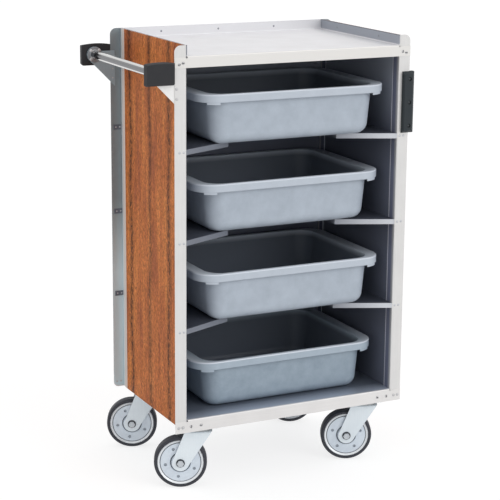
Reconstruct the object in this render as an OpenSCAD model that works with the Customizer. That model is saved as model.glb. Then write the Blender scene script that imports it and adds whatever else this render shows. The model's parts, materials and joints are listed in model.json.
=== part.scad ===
// Tray return trolley: a laminate-clad steel cabinet on four swivel casters, open at the
// front, with a push handle at one end and ledges that carry four lift-out totes.
// Origin on the floor under the middle of the outline, +Z up. The open front faces -Y
// and the push handle is on the -X end. Lengths are in millimetres, angles in degrees.

/* [Cabinet] */
// Clear width of the front opening between the corner posts
opening_w = 582; // [540:1:640]
// Depth over the outer faces of the post flanges
cabinet_d = 410; // [400:1:460]
// Height from the base floor to the lower edge of the top fascia
opening_h = 873; // [850:1:950]
// Width of each flange of a corner post
flange_w = 31; // [26:0.5:40]
// Sheet thickness of the corner posts
post_t = 1.5; // [1:0.1:2.5]
// Sheet thickness of the base and top shelves
pan_t = 1.5; // [1:0.1:2.5]
// Sheet thickness of the end and back panels
panel_t = 1.5; // [1:0.1:2.5]
// Thickness of the laminate skins
laminate_t = 1; // [0.6:0.1:2]
// Bare steel left between the laminate and the back posts
laminate_margin = 11; // [4:0.5:20]
// Outside radius of the sheet bends
bend_r = 3; // [2.6:0.1:4]
// Height of the turned-down rails of the base
rail_h = 33; // [28:0.5:45]
// Height of the turned-down fascia of the top shelf
fascia_h = 28; // [22:0.5:40]
// Height of the guard lips round the top shelf
lip_h = 25.5; // [16:0.5:40]
// Radius of the posts' upper outer corners
post_corner_r = 16; // [6:0.5:24]
// Radius of the posts' lower outer corners
post_foot_r = 14; // [2:0.5:18]
// How far the posts stop above the lower edge of the rails
post_lift = 4; // [1:0.5:10]

/* [Ledges] */
// Height from one tier to the next
tier_pitch = 222.4; // [200:0.2:230]
// How far a ledge reaches in from its end wall
ledge_w = 140; // [120:1:160]
// How far back the slanted ends of a ledge run
ledge_run = 62; // [40:1:80]
// Sheet thickness of a ledge
ledge_t = 1.5; // [1:0.1:2.5]
// Height of the turned-down lip of a ledge
ledge_lip_h = 13; // [8:0.5:20]
// Length of the tab that passes behind a post flange
ledge_tab_l = 25; // [22:0.5:26]

/* [Totes] */
// Length of a tote over its rim, along the cabinet's width
tote_l = 517; // [470:1:530]
// Width of a tote over its rim, front to back
tote_w = 370; // [330:1:374]
// Height of a tote
tote_h = 126; // [100:1:140]
// Wall thickness of a tote
tote_wall = 3; // [2:0.1:4]
// How far the rim stands out from the wall at the two grip ends
grip_lip = 30; // [20:0.5:36]
// How far the rim stands out from the wall along the long sides
side_lip = 9; // [7:0.5:16]
// Depth of the skirt that hangs from the rim
skirt_h = 20; // [14:0.5:28]
// Plan radius of the rim's corners
rim_corner_r = 56; // [40:1:70]
// Plan radius of the body's corners under the rim
body_corner_r = 46; // [42:0.5:60]
// Radius between the walls and the floor of a tote
tote_floor_r = 28; // [16:0.5:34]
// Draft of the walls
tote_draft = 5; // [2:0.5:7]
// Outside radius of the rim's upper edge
rim_edge_r = 2.5; // [1:0.1:2.9]
// How far each tote's rim sits behind the front of the cabinet, from the top one down
setback_top = 3; // [2:0.5:30]
setback_upper = 20; // [2:0.5:36]
setback_lower = 9; // [2:0.5:36]
setback_bottom = 35; // [8:0.5:36]
// How far the totes stand off the middle of the opening, towards the corner guards
tote_shift = 10; // [-20:1:20]

/* [Push handle] */
// Outside diameter of the handle tube
handle_d = 22.2; // [20:0.1:32]
// Wall thickness of the handle tube
handle_wall = 1.6; // [1:0.1:3]
// Distance of the handle axis from the plane of the opening's edge
handle_out = 75; // [65:0.5:80]
// Depth of the handle axis below the top of the cabinet
handle_drop = 64.5; // [50:0.5:90]
// Diameter of the round flanges on the tube's ends
handle_flange_d = 40; // [38:0.5:50]
// Thickness of those flanges
handle_flange_t = 4; // [2:0.1:6]
// Thickness of the bracket plates behind the posts
bracket_t = 2; // [1.5:0.1:3]
// Width, height and projection of the end bumpers
bumper_w = 77; // [70:0.5:90]
bumper_h = 55.5; // [50:0.5:70]
bumper_proud = 16; // [10:0.5:24]

/* [Corner guards] */
// Height of a corner guard
guard_h = 156; // [120:1:190]
// Gap between the tabs of the top ledge and the guards above them
guard_rise = 0.5; // [0.3:0.1:14]
// How far a guard reaches out past the opening's edge
guard_reach = 44; // [42:0.5:56]
// Width of a guard's front face
guard_w = 34; // [32:0.5:42]
// How far a guard stands out in front of the post
guard_proud = 11; // [6:0.5:15]
// Thickness of the guard behind the post
guard_back = 6; // [3:0.5:10]

/* [Casters] */
// Height over all of a caster, floor to the top of its plate
caster_h = 163; // [155:0.5:175]
// Diameter of the wheels over the tyre
wheel_d = 134; // [120:0.5:138]
// Width of a tyre
tyre_w = 32; // [26:0.5:36]
// Diameter of the wheel rim that holds the tyre
rim_d = 118; // [100:0.5:122]
// Length of the wheel hub along its axle
hub_w = 36; // [34:0.5:42]
// Diameter of the raised hub ring
hub_d = 49; // [40:0.5:56]
// Distance from the swivel axis back to the axle
trail = 46; // [36:0.5:52]
// Angle of the parked casters to the cabinet's length
swivel_angle = 24; // [0:1:30]
// Distance of the swivel axes in from the opening's edges
caster_inset_x = 52; // [52:0.5:70]
// Distance of the swivel axes in from the front and back
caster_inset_y = 44; // [42:0.5:70]
// Length, width and thickness of the mounting plates
plate_l = 95; // [88:0.5:98]
plate_w = 67; // [62:0.5:76]
plate_t = 3; // [2:0.1:5]
// Hole spacing of the mounting plates, along and across
plate_holes_l = 75; // [70:0.5:78]
plate_holes_w = 45; // [42:0.5:50]
// Sheet thickness of the forks
fork_t = 2.5; // [2:0.1:3.5]
// Width of a fork leg at its crown
fork_crown_l = 68; // [64:0.5:80]
// Radius of a fork leg's rounded end
fork_end_r = 21; // [16:0.5:24]

/* [Hidden] */
$fn = 64;
// Overrun of the cuts, gap between seated pieces, gap round fasteners, running clearance
cut_over = 1;
seat_gap = 0.3;
fastener_gap = 0.1;
run_gap = 0.05;

// Levels of the cabinet
rail_z = caster_h;
base_z = rail_z + rail_h;
fascia_z = base_z + opening_h;
top_z = fascia_z + fascia_h;
rim_z = top_z + lip_h;
post_z = rail_z + post_lift;
half_w = opening_w / 2;
half_d = cabinet_d / 2;
outer_w = half_w + flange_w;

// The handle reaches out further than the corner guards, so the cabinet stands off centre
handle_reach = flange_w + seat_gap + bumper_w;
mid_x = (handle_reach - guard_reach) / 2;

// Tiers: the three upper totes stand on ledges and the lowest on the base floor
tiers = 4;
ledge_count = tiers - 1;
// Level of the middle ledges as a share of the opening's height
middle_ledge_share = 0.52165;
panel_y = half_d - post_t - ledge_t - seat_gap;
slot_gap = 0.2;

// Fasteners: shank radius, head radius, head height
rivet = [2, 3.4, 1.3];
bolt = [2.5, 4.2, 2.2];
screw = [2, 4, 1.6];
plate_bolt = [4, 6.5, 4.6];
// Rivets through a post flange at each ledge: first one in from the edge, and their pitch
rivet_in = 7.5;
rivet_pitch = 11;
// Bolts along a rail: two through the ear, two into the caster channel
ear_bolt_shares = [0.36, 0.72];
rail_bolt_places = [11, 38];
rail_bolt_share = 0.45;
rail_bolt_z = rail_z + rail_h * rail_bolt_share;
// Screws of the fascia's ears, as shares of the flange width and of the fascia's height
fascia_screw_shares = [[0.3, 0.42], [0.62, 0.3]];
// Radius of the bend reliefs where an ear leaves the folded edge
relief_r = 2.4;

// Caster channels under the base
channel_t = 2;
channel_margin = 4;
channel_w = plate_l + channel_margin;
channel_d = cabinet_d - seat_gap;

// Totes
grip_wall_l = tote_l - 2 * grip_lip;
side_wall_w = tote_w - 2 * side_lip;
tote_lift = 0.3;
tote_setbacks = [setback_top, setback_upper, setback_lower, setback_bottom];

// Handle
handle_z = rim_z - handle_drop;
bracket_y = half_d - post_t;
handle_l = 2 * (bracket_y - bracket_t);
bracket_in = 20;
bracket_rise = 8;
bracket_depth = handle_flange_d / sqrt(2) + handle_out - bracket_in;
bracket_screw_shares = [0.456, 0.744];
flange_screw_count = 4;
flange_screw_r = (handle_d + handle_flange_d) / 4;
bumper_corner_r = 5;
bumper_face_r = 3;
bumper_crown_r = 220;
bumper_back_t = 5;
bumper_face_w_share = 0.9;
bumper_face_h_share = 0.92;
bumper_face_shift_share = 0.03;

// Corner guards
guard_in = guard_reach - guard_w;
guard_bevel = 9;
guard_edge = 3;
guard_end_rise = 7;
guard_screw_count = 3;
guard_screw_share = 0.12;
guard_screw_depth = 3;
guard_screw_r = 5;
guard_screw_in = 17;

// Casters
wheel_r = wheel_d / 2;
rim_r = rim_d / 2;
hub_r = hub_d / 2;
race_h = 8;
crown_z = caster_h - plate_t - race_h;
king_r = 6;
king_head_r = 10;
king_head_h = 4;
race_boss_r = 19;
race_skirt_r = 31;
race_skirt_t = 2;
race_skirt_gap = 1.5;
ball_gap = 0.15;
ball_r = race_h / 2 - ball_gap;
ball_count = 14;
ball_ring_r = (race_boss_r + race_skirt_r - race_skirt_t) / 2;
plate_corner_r = 8;
hub_play = 0.4;
leg_in = hub_w / 2 + hub_play;
fork_w = 2 * (leg_in + fork_t);
fork_bend_r = 7;
axle_r = 5;
bush_r = 8;
axle_head_r = 9;
axle_head_h = 5.5;
axle_nut_h = 7;
washer_r = 11;
washer_t = 1.5;
disc_half = 13;
rim_half = 15;
rim_step = 6.5;
groove_w = 2;
groove_deep = 2.5;
dimple_count = 5;
dimple_r = 4;
dimple_deep = 3;
dimple_ring_r = (hub_r + rim_r - rim_step) / 2;
tyre_shoulder_r = 6;
tyre_in_r = rim_r + fastener_gap;

ENDS = [-1, 1];
CORNERS = [["front_left", -1, -1], ["front_right", 1, -1], ["back_left", -1, 1], ["back_right", 1, 1]];

// Placing: a piece is drawn for the left end, or for the front left corner, and mirrored

module at_end(end) translate([mid_x, 0, 0]) mirror([end > 0 ? 1 : 0, 0, 0]) children();
module at_corner(end, side) at_end(end) mirror([0, side > 0 ? 1 : 0, 0]) children();
module at_caster(end, side)
    translate([mid_x + end * (half_w - caster_inset_x), side * (half_d - caster_inset_y), 0]) children();
module at_swivel(end, side) at_caster(end, side) rotate([0, 0, -swivel_angle]) children();
module at_wheel(end, side) at_swivel(end, side) translate([-trail, 0, wheel_r]) children();
module to_front() rotate([90, 0, 0]) children();
module along_x() rotate([90, 0, 90]) children();

// Level of tier n, counted from the top, and the place of the tote on it
function tier_z(n) =
    base_z + (n == tiers ? 0 : opening_h * middle_ledge_share + (tiers / 2 - n) * tier_pitch);
function tote_y(n) = -half_d + tote_w / 2 + tote_setbacks[n - 1];
// Point where a line from p touches a circle about c, on the side given by the sign s
function touch(c, r, p, s) =
    let (d = p - c, turn = atan2(d[1], d[0]) + s * acos(r / norm(d))) c + r * [cos(turn), sin(turn)];

// Plain shapes

module block(low, high) translate(low) cube(high - low);

module rounded_rect(l, w, r) {
    square([l - 2 * r, w], center = true);
    square([l, w - 2 * r], center = true);
    for (sx = ENDS, sy = ENDS) translate([sx * (l / 2 - r), sy * (w / 2 - r)]) circle(r);
}

// What is cut from a square corner at the origin to round it, with the material at +x, -y
module corner_waste(r) difference() {
    translate([-cut_over, -r]) square(r + cut_over);
    translate([r, -r]) circle(r);
}

// A quarter of a bend, curving from the x axis at (r, 0) round to the y axis at (0, r)
module bend_quarter(r, t) intersection() {
    difference() {
        circle(r);
        circle(r - t);
    }
    square(r);
}

module dome(r, h) intersection() {
    translate([0, 0, h - (r * r + h * h) / (2 * h)]) sphere((r * r + h * h) / (2 * h));
    cylinder(r = r, h = h);
}

// A headed fastener along Z with its head above the seat at z = 0
module fastener(sizes, l) {
    dome(sizes[1], sizes[2]);
    translate([0, 0, -l]) cylinder(r = sizes[0], h = l);
}

// A profile carried round a rectangle with rounded corners; x is measured out from a corner's centre
module frame_sweep(l, w, r) for (k = [0 : 3]) {
    run = (k % 2 == 0 ? l : w) - 2 * r;
    off = (k % 2 == 0 ? w : l) / 2 - r;
    rotate([0, 0, 90 * k]) {
        translate([-run / 2, off, 0]) along_x() linear_extrude(run) children();
        translate([run / 2, off, 0]) rotate_extrude(angle = 90) children();
    }
}

// Cabinet

// Front to back section of a shelf's front bend: a turned-down face of height h and the flat behind it
module turned_down(h, flat) {
    translate([-half_d - pan_t, -h]) square([pan_t, h - bend_r]);
    translate([-half_d - pan_t + bend_r, -bend_r]) mirror([1, 0]) bend_quarter(bend_r, pan_t);
    translate([-half_d - pan_t + bend_r, -pan_t]) square([flat, pan_t]);
}

module across_opening() translate([-half_w, 0, 0]) along_x() linear_extrude(opening_w) children();

// Holes of a front rail or fascia ear, drawn for the front left corner
module ear_bolts() for (share = ear_bolt_shares)
    translate([-half_w - flange_w * share, -half_d - pan_t, rail_bolt_z]) to_front() children();
module channel_bolts() for (place = rail_bolt_places)
    translate([-half_w + place, -half_d - pan_t, rail_bolt_z]) to_front() children();
module fascia_screw_places() for (share = fascia_screw_shares)
    translate([-half_w - flange_w * share[0], -half_d - pan_t, fascia_z + fascia_h * share[1]])
        to_front() children();
module shank_hole(sizes, l) translate([0, 0, -l]) cylinder(r = sizes[0] + fastener_gap, h = l + cut_over);
module bend_relief(z) translate([-half_w, -half_d, z - bend_r]) to_front()
    cylinder(r = relief_r, h = 4 * pan_t, center = true);

module base_shelf() color("gainsboro") difference() {
    translate([mid_x, 0, 0]) {
        for (side = ENDS) mirror([0, side > 0 ? 1 : 0, 0]) {
            translate([0, 0, base_z]) across_opening() turned_down(rail_h, half_d + pan_t - bend_r);
            for (end = ENDS) mirror([end > 0 ? 1 : 0, 0, 0])
                block([-outer_w, -half_d - pan_t, rail_z], [-half_w, -half_d, base_z - bend_r]);
        }
        for (end = ENDS) mirror([end > 0 ? 1 : 0, 0, 0])
            block([-half_w, -half_d, rail_z], [-half_w + pan_t, half_d, base_z - pan_t]);
    }
    for (end = ENDS, side = ENDS) at_corner(end, side) {
        ear_bolts() shank_hole(bolt, 2 * pan_t);
        channel_bolts() shank_hole(bolt, 2 * pan_t);
        bend_relief(base_z);
        if (side > 0) translate([0, 0, 2 * rail_z]) mirror([0, 0, 1]) flange_corners(post_foot_r, rail_z);
    }
}

// Open-topped tray under the base that stiffens it and takes the caster plates of one end
module base_channel(end) color("lightslategray") difference() {
    at_end(end) translate([-half_w + caster_inset_x, 0, rail_z]) difference() {
        block([-channel_w / 2, -channel_d / 2, 0], [channel_w / 2, channel_d / 2, rail_h - pan_t]);
        block([-channel_w / 2 + channel_t, -channel_d / 2 + channel_t, channel_t],
              [channel_w / 2 - channel_t, channel_d / 2 - channel_t, rail_h]);
        for (side = ENDS) mirror([0, side > 0 ? 1 : 0, 0])
            block([-channel_w, -half_d, rail_h - bend_r], [channel_w, -half_d + bend_r, rail_h]);
    }
    for (side = ENDS) {
        at_caster(end, side) plate_bolt_places() cylinder(r = plate_bolt[0] + fastener_gap, h = rail_h);
        at_corner(end, side) channel_bolts() shank_hole(bolt, 2 * pan_t + channel_t);
    }
}

module top_shelf() color("whitesmoke") difference() {
    translate([mid_x, 0, 0]) {
        translate([0, 0, top_z]) across_opening() {
            turned_down(fascia_h, cabinet_d + pan_t - 2 * bend_r);
            translate([half_d - bend_r, bend_r - pan_t]) mirror([0, 1]) bend_quarter(bend_r, pan_t);
            translate([half_d - pan_t, bend_r - pan_t]) square([pan_t, lip_h - bend_r + pan_t]);
        }
        for (end = ENDS) mirror([end > 0 ? 1 : 0, 0, 0]) {
            block([-half_w, -half_d, top_z], [-half_w + pan_t, half_d - pan_t, rim_z]);
            translate([-half_w + pan_t, -half_d + bend_r, top_z]) to_front() mirror([0, 0, 1])
                linear_extrude(cabinet_d - pan_t - bend_r) lip_fillet();
            block([-outer_w, -half_d - pan_t, fascia_z], [-half_w, -half_d, top_z - bend_r]);
        }
    }
    for (end = ENDS) at_corner(end, -1) {
        fascia_screw_places() shank_hole(screw, 2 * pan_t);
        bend_relief(top_z);
    }
}

// Inside radius where a side lip leaves the shelf
module lip_fillet() difference() {
    square(bend_r - pan_t);
    translate([bend_r - pan_t, bend_r - pan_t]) circle(bend_r - pan_t);
}

// Corner post, an angle whose bend is at the edge of the opening
module post_section() translate([-half_w, -half_d]) {
    translate([-flange_w, 0]) square([flange_w - bend_r, post_t]);
    translate([-post_t, bend_r]) square([post_t, flange_w - bend_r]);
    translate([-bend_r, bend_r]) mirror([0, 1]) bend_quarter(bend_r, post_t);
}

module ledge_rivet_places(skin) for (n = [1 : ledge_count], k = [0, 1])
    translate([-half_w - rivet_in - k * rivet_pitch, -half_d - skin, tier_z(n) - ledge_lip_h / 2])
        to_front() children();

module flange_corners(r, z) translate([-outer_w, -half_d + 2 * flange_w, z]) to_front()
    linear_extrude(4 * flange_w) corner_waste(r);

module post(end, side) color("gainsboro") at_corner(end, side) difference() {
    translate([0, 0, post_z]) linear_extrude(rim_z - post_z) post_section();
    flange_corners(post_corner_r, rim_z);
    translate([0, 0, 2 * post_z]) mirror([0, 0, 1]) flange_corners(post_foot_r, post_z);
    for (n = [1 : ledge_count]) translate([-half_w, -half_d + post_t, tier_z(n)])
        block([-bend_r - cut_over, 0, -ledge_lip_h - slot_gap], [cut_over, ledge_t + slot_gap, slot_gap]);
    ledge_rivet_places(0) shank_hole(rivet, 2 * post_t);
    ear_bolts() shank_hole(bolt, 2 * (pan_t + post_t));
    if (side < 0) fascia_screw_places() shank_hole(screw, 2 * (pan_t + post_t));
    if (end < 0) bracket_screw_places(0) shank_hole(screw, 2 * post_t);
    if (end > 0) guard_screw_places() shank_hole(screw, guard_proud + 2 * post_t);
}

module end_panel(end) color("silver") at_end(end)
    block([-half_w - post_t - panel_t, -panel_y, rail_z], [-half_w - post_t, panel_y, rim_z]);

module laminate(end) color("sienna") at_end(end)
    block([-half_w - post_t - panel_t - laminate_t, -panel_y, rail_z],
          [-half_w - post_t - panel_t, panel_y - laminate_margin, rim_z]);

module back_panel() color("silver") translate([mid_x, 0, 0]) difference() {
    block([-outer_w, half_d, base_z], [outer_w, half_d + panel_t, rim_z]);
    for (end = ENDS) mirror([end > 0 ? 1 : 0, 0, 0]) mirror([0, 1, 0]) {
        flange_corners(post_corner_r, rim_z);
        ledge_rivet_places(panel_t) shank_hole(rivet, 2 * panel_t);
        if (end < 0) bracket_screw_places(panel_t) shank_hole(screw, 2 * panel_t);
        if (end > 0) guard_screw_places() shank_hole(screw, guard_proud + 2 * post_t);
    }
}

module laminate_back() color("sienna") translate([mid_x, half_d + panel_t, 0])
    block([-half_w, 0, base_z + laminate_margin], [half_w, laminate_t, rim_z - laminate_margin]);

// Ledges

// Slanted lip at one end of a ledge, with the tab that goes through the post's slot
module ledge_front() {
    slant = [ledge_w, ledge_run];
    translate([-half_w, -half_d + post_t, -ledge_lip_h]) {
        rotate([0, 0, atan2(slant[1], slant[0])]) cube([norm(slant), ledge_t, ledge_lip_h]);
        translate([-ledge_tab_l, 0, 0]) cube([ledge_tab_l + ledge_t, ledge_t, ledge_lip_h]);
    }
}

module ledge(end, n) color("silver") at_end(end) translate([0, 0, tier_z(n)]) difference() {
    union() {
        translate([0, 0, -ledge_t]) linear_extrude(ledge_t) polygon([
            [-half_w, -half_d + post_t], [-half_w + ledge_w, -half_d + post_t + ledge_run],
            [-half_w + ledge_w, half_d - post_t - ledge_run], [-half_w, half_d - post_t]]);
        block([-half_w + ledge_w - ledge_t, -half_d + post_t + ledge_run, -ledge_lip_h],
              [-half_w + ledge_w, half_d - post_t - ledge_run, 0]);
        for (side = ENDS) mirror([0, side > 0 ? 1 : 0, 0]) ledge_front();
    }
    for (side = ENDS) mirror([0, side > 0 ? 1 : 0, 0])
        translate([0, 0, -tier_z(n)]) ledge_rivet_places(0) shank_hole(rivet, 2 * (post_t + ledge_t));
}

// Push handle

module handle_axis() translate([-half_w - handle_out, 0, handle_z]) children();

module push_handle() color("lightgray") at_end(-1) handle_axis() to_front() difference() {
    union() {
        cylinder(d = handle_d, h = handle_l, center = true);
        for (side = ENDS) translate([0, 0, side * (handle_l - handle_flange_t) / 2])
            cylinder(d = handle_flange_d, h = handle_flange_t, center = true);
    }
    cylinder(d = handle_d - 2 * handle_wall, h = handle_l + cut_over, center = true);
    flange_screw_places() cylinder(r = screw[0] + fastener_gap, h = handle_l + cut_over, center = true);
}

module flange_screw_places() for (k = [0 : flange_screw_count - 1])
    rotate([0, 0, (k + 1 / 2) * 360 / flange_screw_count]) translate([flange_screw_r, 0, 0]) children();

// Plate behind a post flange: round where the handle sits, slanting down to the post
module bracket_outline() {
    r = handle_flange_d / 2;
    low = [handle_out - bracket_in, -bracket_depth];
    circle(r);
    polygon([touch([0, 0], r - seat_gap, low, -1), low, [low[0], bracket_rise], [0, bracket_rise]]);
}

// Screws that hold a bracket to its post flange, through any skin on the flange
module bracket_screw_places(skin) for (share = bracket_screw_shares)
    translate([-half_w - (bracket_in + flange_w) / 2, -half_d - skin, handle_z - bracket_depth * share])
        to_front() children();

module handle_bracket(side) color("gainsboro") at_corner(-1, side) difference() {
    handle_axis() translate([0, -bracket_y + bracket_t, 0]) to_front()
        linear_extrude(bracket_t) bracket_outline();
    handle_axis() to_front() flange_screw_places()
        cylinder(r = screw[0] + fastener_gap, h = cabinet_d, center = true);
    bracket_screw_places(0) shank_hole(screw, 2 * (post_t + bracket_t));
}

// Outline of a bumper, rounded, with a slightly crowned top
module bumper_outline(w, h, r) intersection() {
    rounded_rect(w, h, r);
    translate([0, h / 2 - bumper_crown_r]) circle(bumper_crown_r, $fn = 256);
}

module handle_bumper(side) color("#26282a") at_corner(-1, side)
    translate([-half_w - handle_reach + bumper_w / 2, -bracket_y, handle_z]) to_front() hull() {
        linear_extrude(bumper_back_t) bumper_outline(bumper_w, bumper_h, bumper_corner_r, $fn = 32);
        translate([-bumper_w * bumper_face_shift_share, 0, 0]) linear_extrude(bumper_proud + post_t)
            bumper_outline(bumper_w * bumper_face_w_share, bumper_h * bumper_face_h_share,
                bumper_face_r, $fn = 32);
    }

// Corner guards

guard_z = tier_z(1) + guard_rise;

module guard_screw_places() for (k = [0 : guard_screw_count - 1])
    translate([-half_w - guard_in - guard_screw_in, -half_d - guard_proud,
        guard_z + guard_h * (guard_screw_share + (1 - 2 * guard_screw_share) * k / (guard_screw_count - 1))])
        to_front() children();

// Section of a guard, bevelled outside and slotted for the post flange and any skin on it
module guard_section(skin) difference() {
    translate([-half_w, -half_d]) polygon([
        [-guard_in - guard_edge, -guard_proud], [-guard_reach + guard_bevel, -guard_proud],
        [-guard_reach, -guard_proud + guard_bevel], [-guard_reach, post_t + guard_back - guard_edge],
        [-guard_reach + guard_edge, post_t + guard_back], [-guard_in, post_t + guard_back],
        [-guard_in, -guard_proud + guard_edge]]);
    translate([-outer_w - seat_gap, -half_d - skin]) square([flange_w, post_t + skin]);
}

// Slope that takes off a guard's upper front edge
module guard_end_waste() translate([-outer_w, -half_d - guard_proud, guard_z + guard_h - guard_end_rise])
    rotate([atan2(guard_end_rise, guard_proud), 0, 0])
        block([-guard_reach, -guard_reach, 0], [guard_reach, guard_reach, guard_reach]);

module corner_guard(side) color("#26282a") at_corner(1, side) difference() {
    translate([0, 0, guard_z]) linear_extrude(guard_h) guard_section(side > 0 ? panel_t : 0);
    guard_end_waste();
    translate([0, 0, 2 * guard_z + guard_h]) mirror([0, 0, 1]) guard_end_waste();
    guard_screw_places() {
        translate([0, 0, -guard_screw_depth]) cylinder(r = guard_screw_r, h = guard_screw_depth + cut_over);
        shank_hole(screw, guard_proud + post_t + guard_back / 2);
    }
}

// Fasteners

module base_bolts() color("dimgray") for (end = ENDS, side = ENDS) at_corner(end, side) {
    ear_bolts() fastener(bolt, pan_t + post_t);
    channel_bolts() fastener(bolt, pan_t + channel_t);
}

module ledge_rivets() color("darkgray") for (end = ENDS, side = ENDS) at_corner(end, side) {
    skin = side > 0 ? panel_t : 0;
    ledge_rivet_places(skin) fastener(rivet, skin + post_t + ledge_t);
}

module fascia_screws() color("dimgray") for (end = ENDS)
    at_corner(end, -1) fascia_screw_places() fastener(screw, pan_t + post_t);

module handle_screws() color("dimgray") for (side = ENDS) at_corner(-1, side) {
    skin = side > 0 ? panel_t : 0;
    handle_axis() translate([0, -bracket_y + bracket_t + handle_flange_t, 0]) to_front() mirror([0, 0, 1])
        flange_screw_places() fastener(screw, handle_flange_t + bracket_t);
    bracket_screw_places(skin) fastener(screw, skin + post_t + bracket_t);
}

module guard_screws() color("dimgray") for (side = ENDS) at_corner(1, side) guard_screw_places()
    translate([0, 0, -guard_screw_depth]) fastener(screw, guard_proud + post_t - guard_screw_depth);

module plate_bolt_places() for (sx = ENDS, sy = ENDS)
    translate([sx * plate_holes_l / 2, sy * plate_holes_w / 2, caster_h - plate_t]) children();

module plate_bolts() color("darkgray") for (end = ENDS, side = ENDS)
    at_caster(end, side) plate_bolt_places() plate_bolt_and_nut();

module plate_bolt_and_nut() {
    mirror([0, 0, 1]) cylinder(r = plate_bolt[1], h = plate_bolt[2], $fn = 6);
    cylinder(r = plate_bolt[0], h = plate_t + channel_t + plate_bolt[2]);
    translate([0, 0, plate_t + channel_t]) cylinder(r = plate_bolt[1], h = plate_bolt[2], $fn = 6);
}

// Casters

module caster_plate(end, side) color("lightsteelblue") at_caster(end, side) difference() {
    union() {
        translate([0, 0, caster_h - plate_t]) linear_extrude(plate_t)
            rounded_rect(plate_l, plate_w, plate_corner_r);
        translate([0, 0, crown_z + race_skirt_gap]) difference() {
            cylinder(r = race_skirt_r, h = race_h - race_skirt_gap);
            translate([0, 0, -cut_over]) cylinder(r = race_skirt_r - race_skirt_t, h = race_h + cut_over);
        }
    }
    cylinder(r = king_r + fastener_gap, h = caster_h + cut_over);
    plate_bolt_places() translate([0, 0, -cut_over])
        cylinder(r = plate_bolt[0] + fastener_gap, h = plate_t + 2 * cut_over);
}

module kingpins() color("dimgray") for (end = ENDS, side = ENDS) at_caster(end, side) {
    seat_z = crown_z - fork_t - seat_gap;
    translate([0, 0, seat_z - king_head_h]) cylinder(r = king_head_r, h = king_head_h);
    translate([0, 0, seat_z]) cylinder(r = king_r, h = caster_h - seat_z);
}

module swivel_balls() color("silver") for (end = ENDS, side = ENDS) at_caster(end, side)
    for (k = [0 : ball_count - 1]) rotate([0, 0, k * 360 / ball_count])
        translate([ball_ring_r, 0, crown_z + race_h / 2]) sphere(ball_r);

// Section across a fork: two legs and the crown, bent from one strip
module bent_block(w, h, r) {
    translate([-w / 2, 0]) square([w, h - r]);
    translate([-w / 2 + r, 0]) square([w - 2 * r, h]);
    for (s = ENDS) translate([s * (w / 2 - r), h - r]) circle(r);
}

module fork_section() difference() {
    bent_block(fork_w, crown_z, fork_bend_r);
    translate([0, -cut_over])
        bent_block(fork_w - 2 * fork_t, crown_z - fork_t + cut_over, fork_bend_r - fork_t);
}

// Side view of a fork leg: broad at the crown, drawn in to a rounded end at the axle
module leg_outline() {
    axle = [-trail, wheel_r];
    left = [-fork_crown_l / 2, crown_z];
    right = [fork_crown_l / 2, crown_z];
    side_r = fork_end_r - seat_gap;
    translate(axle) circle(fork_end_r);
    polygon([left, touch(axle, side_r, left, 1), axle, touch(axle, side_r, right, -1), right]);
}

module fork(end, side) color("lightsteelblue") at_swivel(end, side) difference() {
    union() {
        intersection() {
            translate([-trail - fork_end_r, 0, 0]) along_x()
                linear_extrude(trail + fork_end_r + fork_crown_l / 2) fork_section();
            to_front() linear_extrude(fork_w + cut_over, center = true) leg_outline();
        }
        translate([0, 0, crown_z - fork_t / 2])
            cylinder(r = race_boss_r, h = race_h - race_skirt_gap + fork_t / 2);
    }
    cylinder(r = king_r + run_gap, h = caster_h);
    translate([-trail, 0, wheel_r]) to_front()
        cylinder(r = axle_r + fastener_gap, h = fork_w + cut_over, center = true);
}

// Axle bolt with its washers, nut and the bush that the hub turns on
module axle(end, side) color("silver") at_wheel(end, side) to_front() {
    cylinder(r = axle_r, h = fork_w + 2 * washer_t + axle_nut_h, center = true);
    for (s = ENDS) translate([0, 0, s * (fork_w + washer_t) / 2])
        cylinder(r = washer_r, h = washer_t, center = true);
    translate([0, 0, fork_w / 2 + washer_t]) cylinder(r = axle_head_r, h = axle_head_h, $fn = 6);
    translate([0, 0, -fork_w / 2 - washer_t - axle_nut_h]) cylinder(r = axle_head_r, h = axle_nut_h, $fn = 6);
    difference() {
        cylinder(r = bush_r, h = 2 * leg_in, center = true);
        cylinder(r = axle_r + fastener_gap, h = 2 * leg_in + cut_over, center = true);
    }
}

// Upper side of a wheel's section: hub, pressed disc, ring groove and the rim that holds the tyre
wheel_side = [
    [bush_r + run_gap, hub_w / 2], [hub_r - groove_w, hub_w / 2],
    [hub_r - groove_w / 2, disc_half - groove_deep], [hub_r + groove_w / 2, disc_half - groove_deep],
    [hub_r + groove_w, disc_half], [rim_r - rim_step - groove_w, disc_half],
    [rim_r - rim_step - groove_w, disc_half - groove_deep], [rim_r - rim_step, disc_half - groove_deep],
    [rim_r - rim_step, rim_half - groove_deep], [rim_r - groove_w, rim_half], [rim_r, rim_half - groove_w]];
function flipped(points) = [for (k = [len(points) - 1 : -1 : 0]) [points[k][0], -points[k][1]]];

module wheel(end, side) color("lightgray") at_wheel(end, side) to_front() difference() {
    rotate_extrude() polygon(concat(wheel_side, flipped(wheel_side)));
    for (k = [0 : dimple_count - 1], s = [0, 1]) mirror([0, 0, s]) rotate([0, 0, k * 360 / dimple_count])
        translate([dimple_ring_r, 0, disc_half - dimple_deep])
            cylinder(r = dimple_r, h = dimple_deep + cut_over);
}

// Tyre section: a band with rounded shoulders, cut off at its seat on the rim
module tyre(end, side) color("#3a3b3d") at_wheel(end, side) to_front() rotate_extrude() intersection() {
    translate([tyre_in_r, -tyre_w / 2]) square([wheel_r, tyre_w]);
    translate([wheel_r / 2, 0]) rounded_rect(wheel_r, tyre_w, tyre_shoulder_r);
}

// Totes

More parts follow.
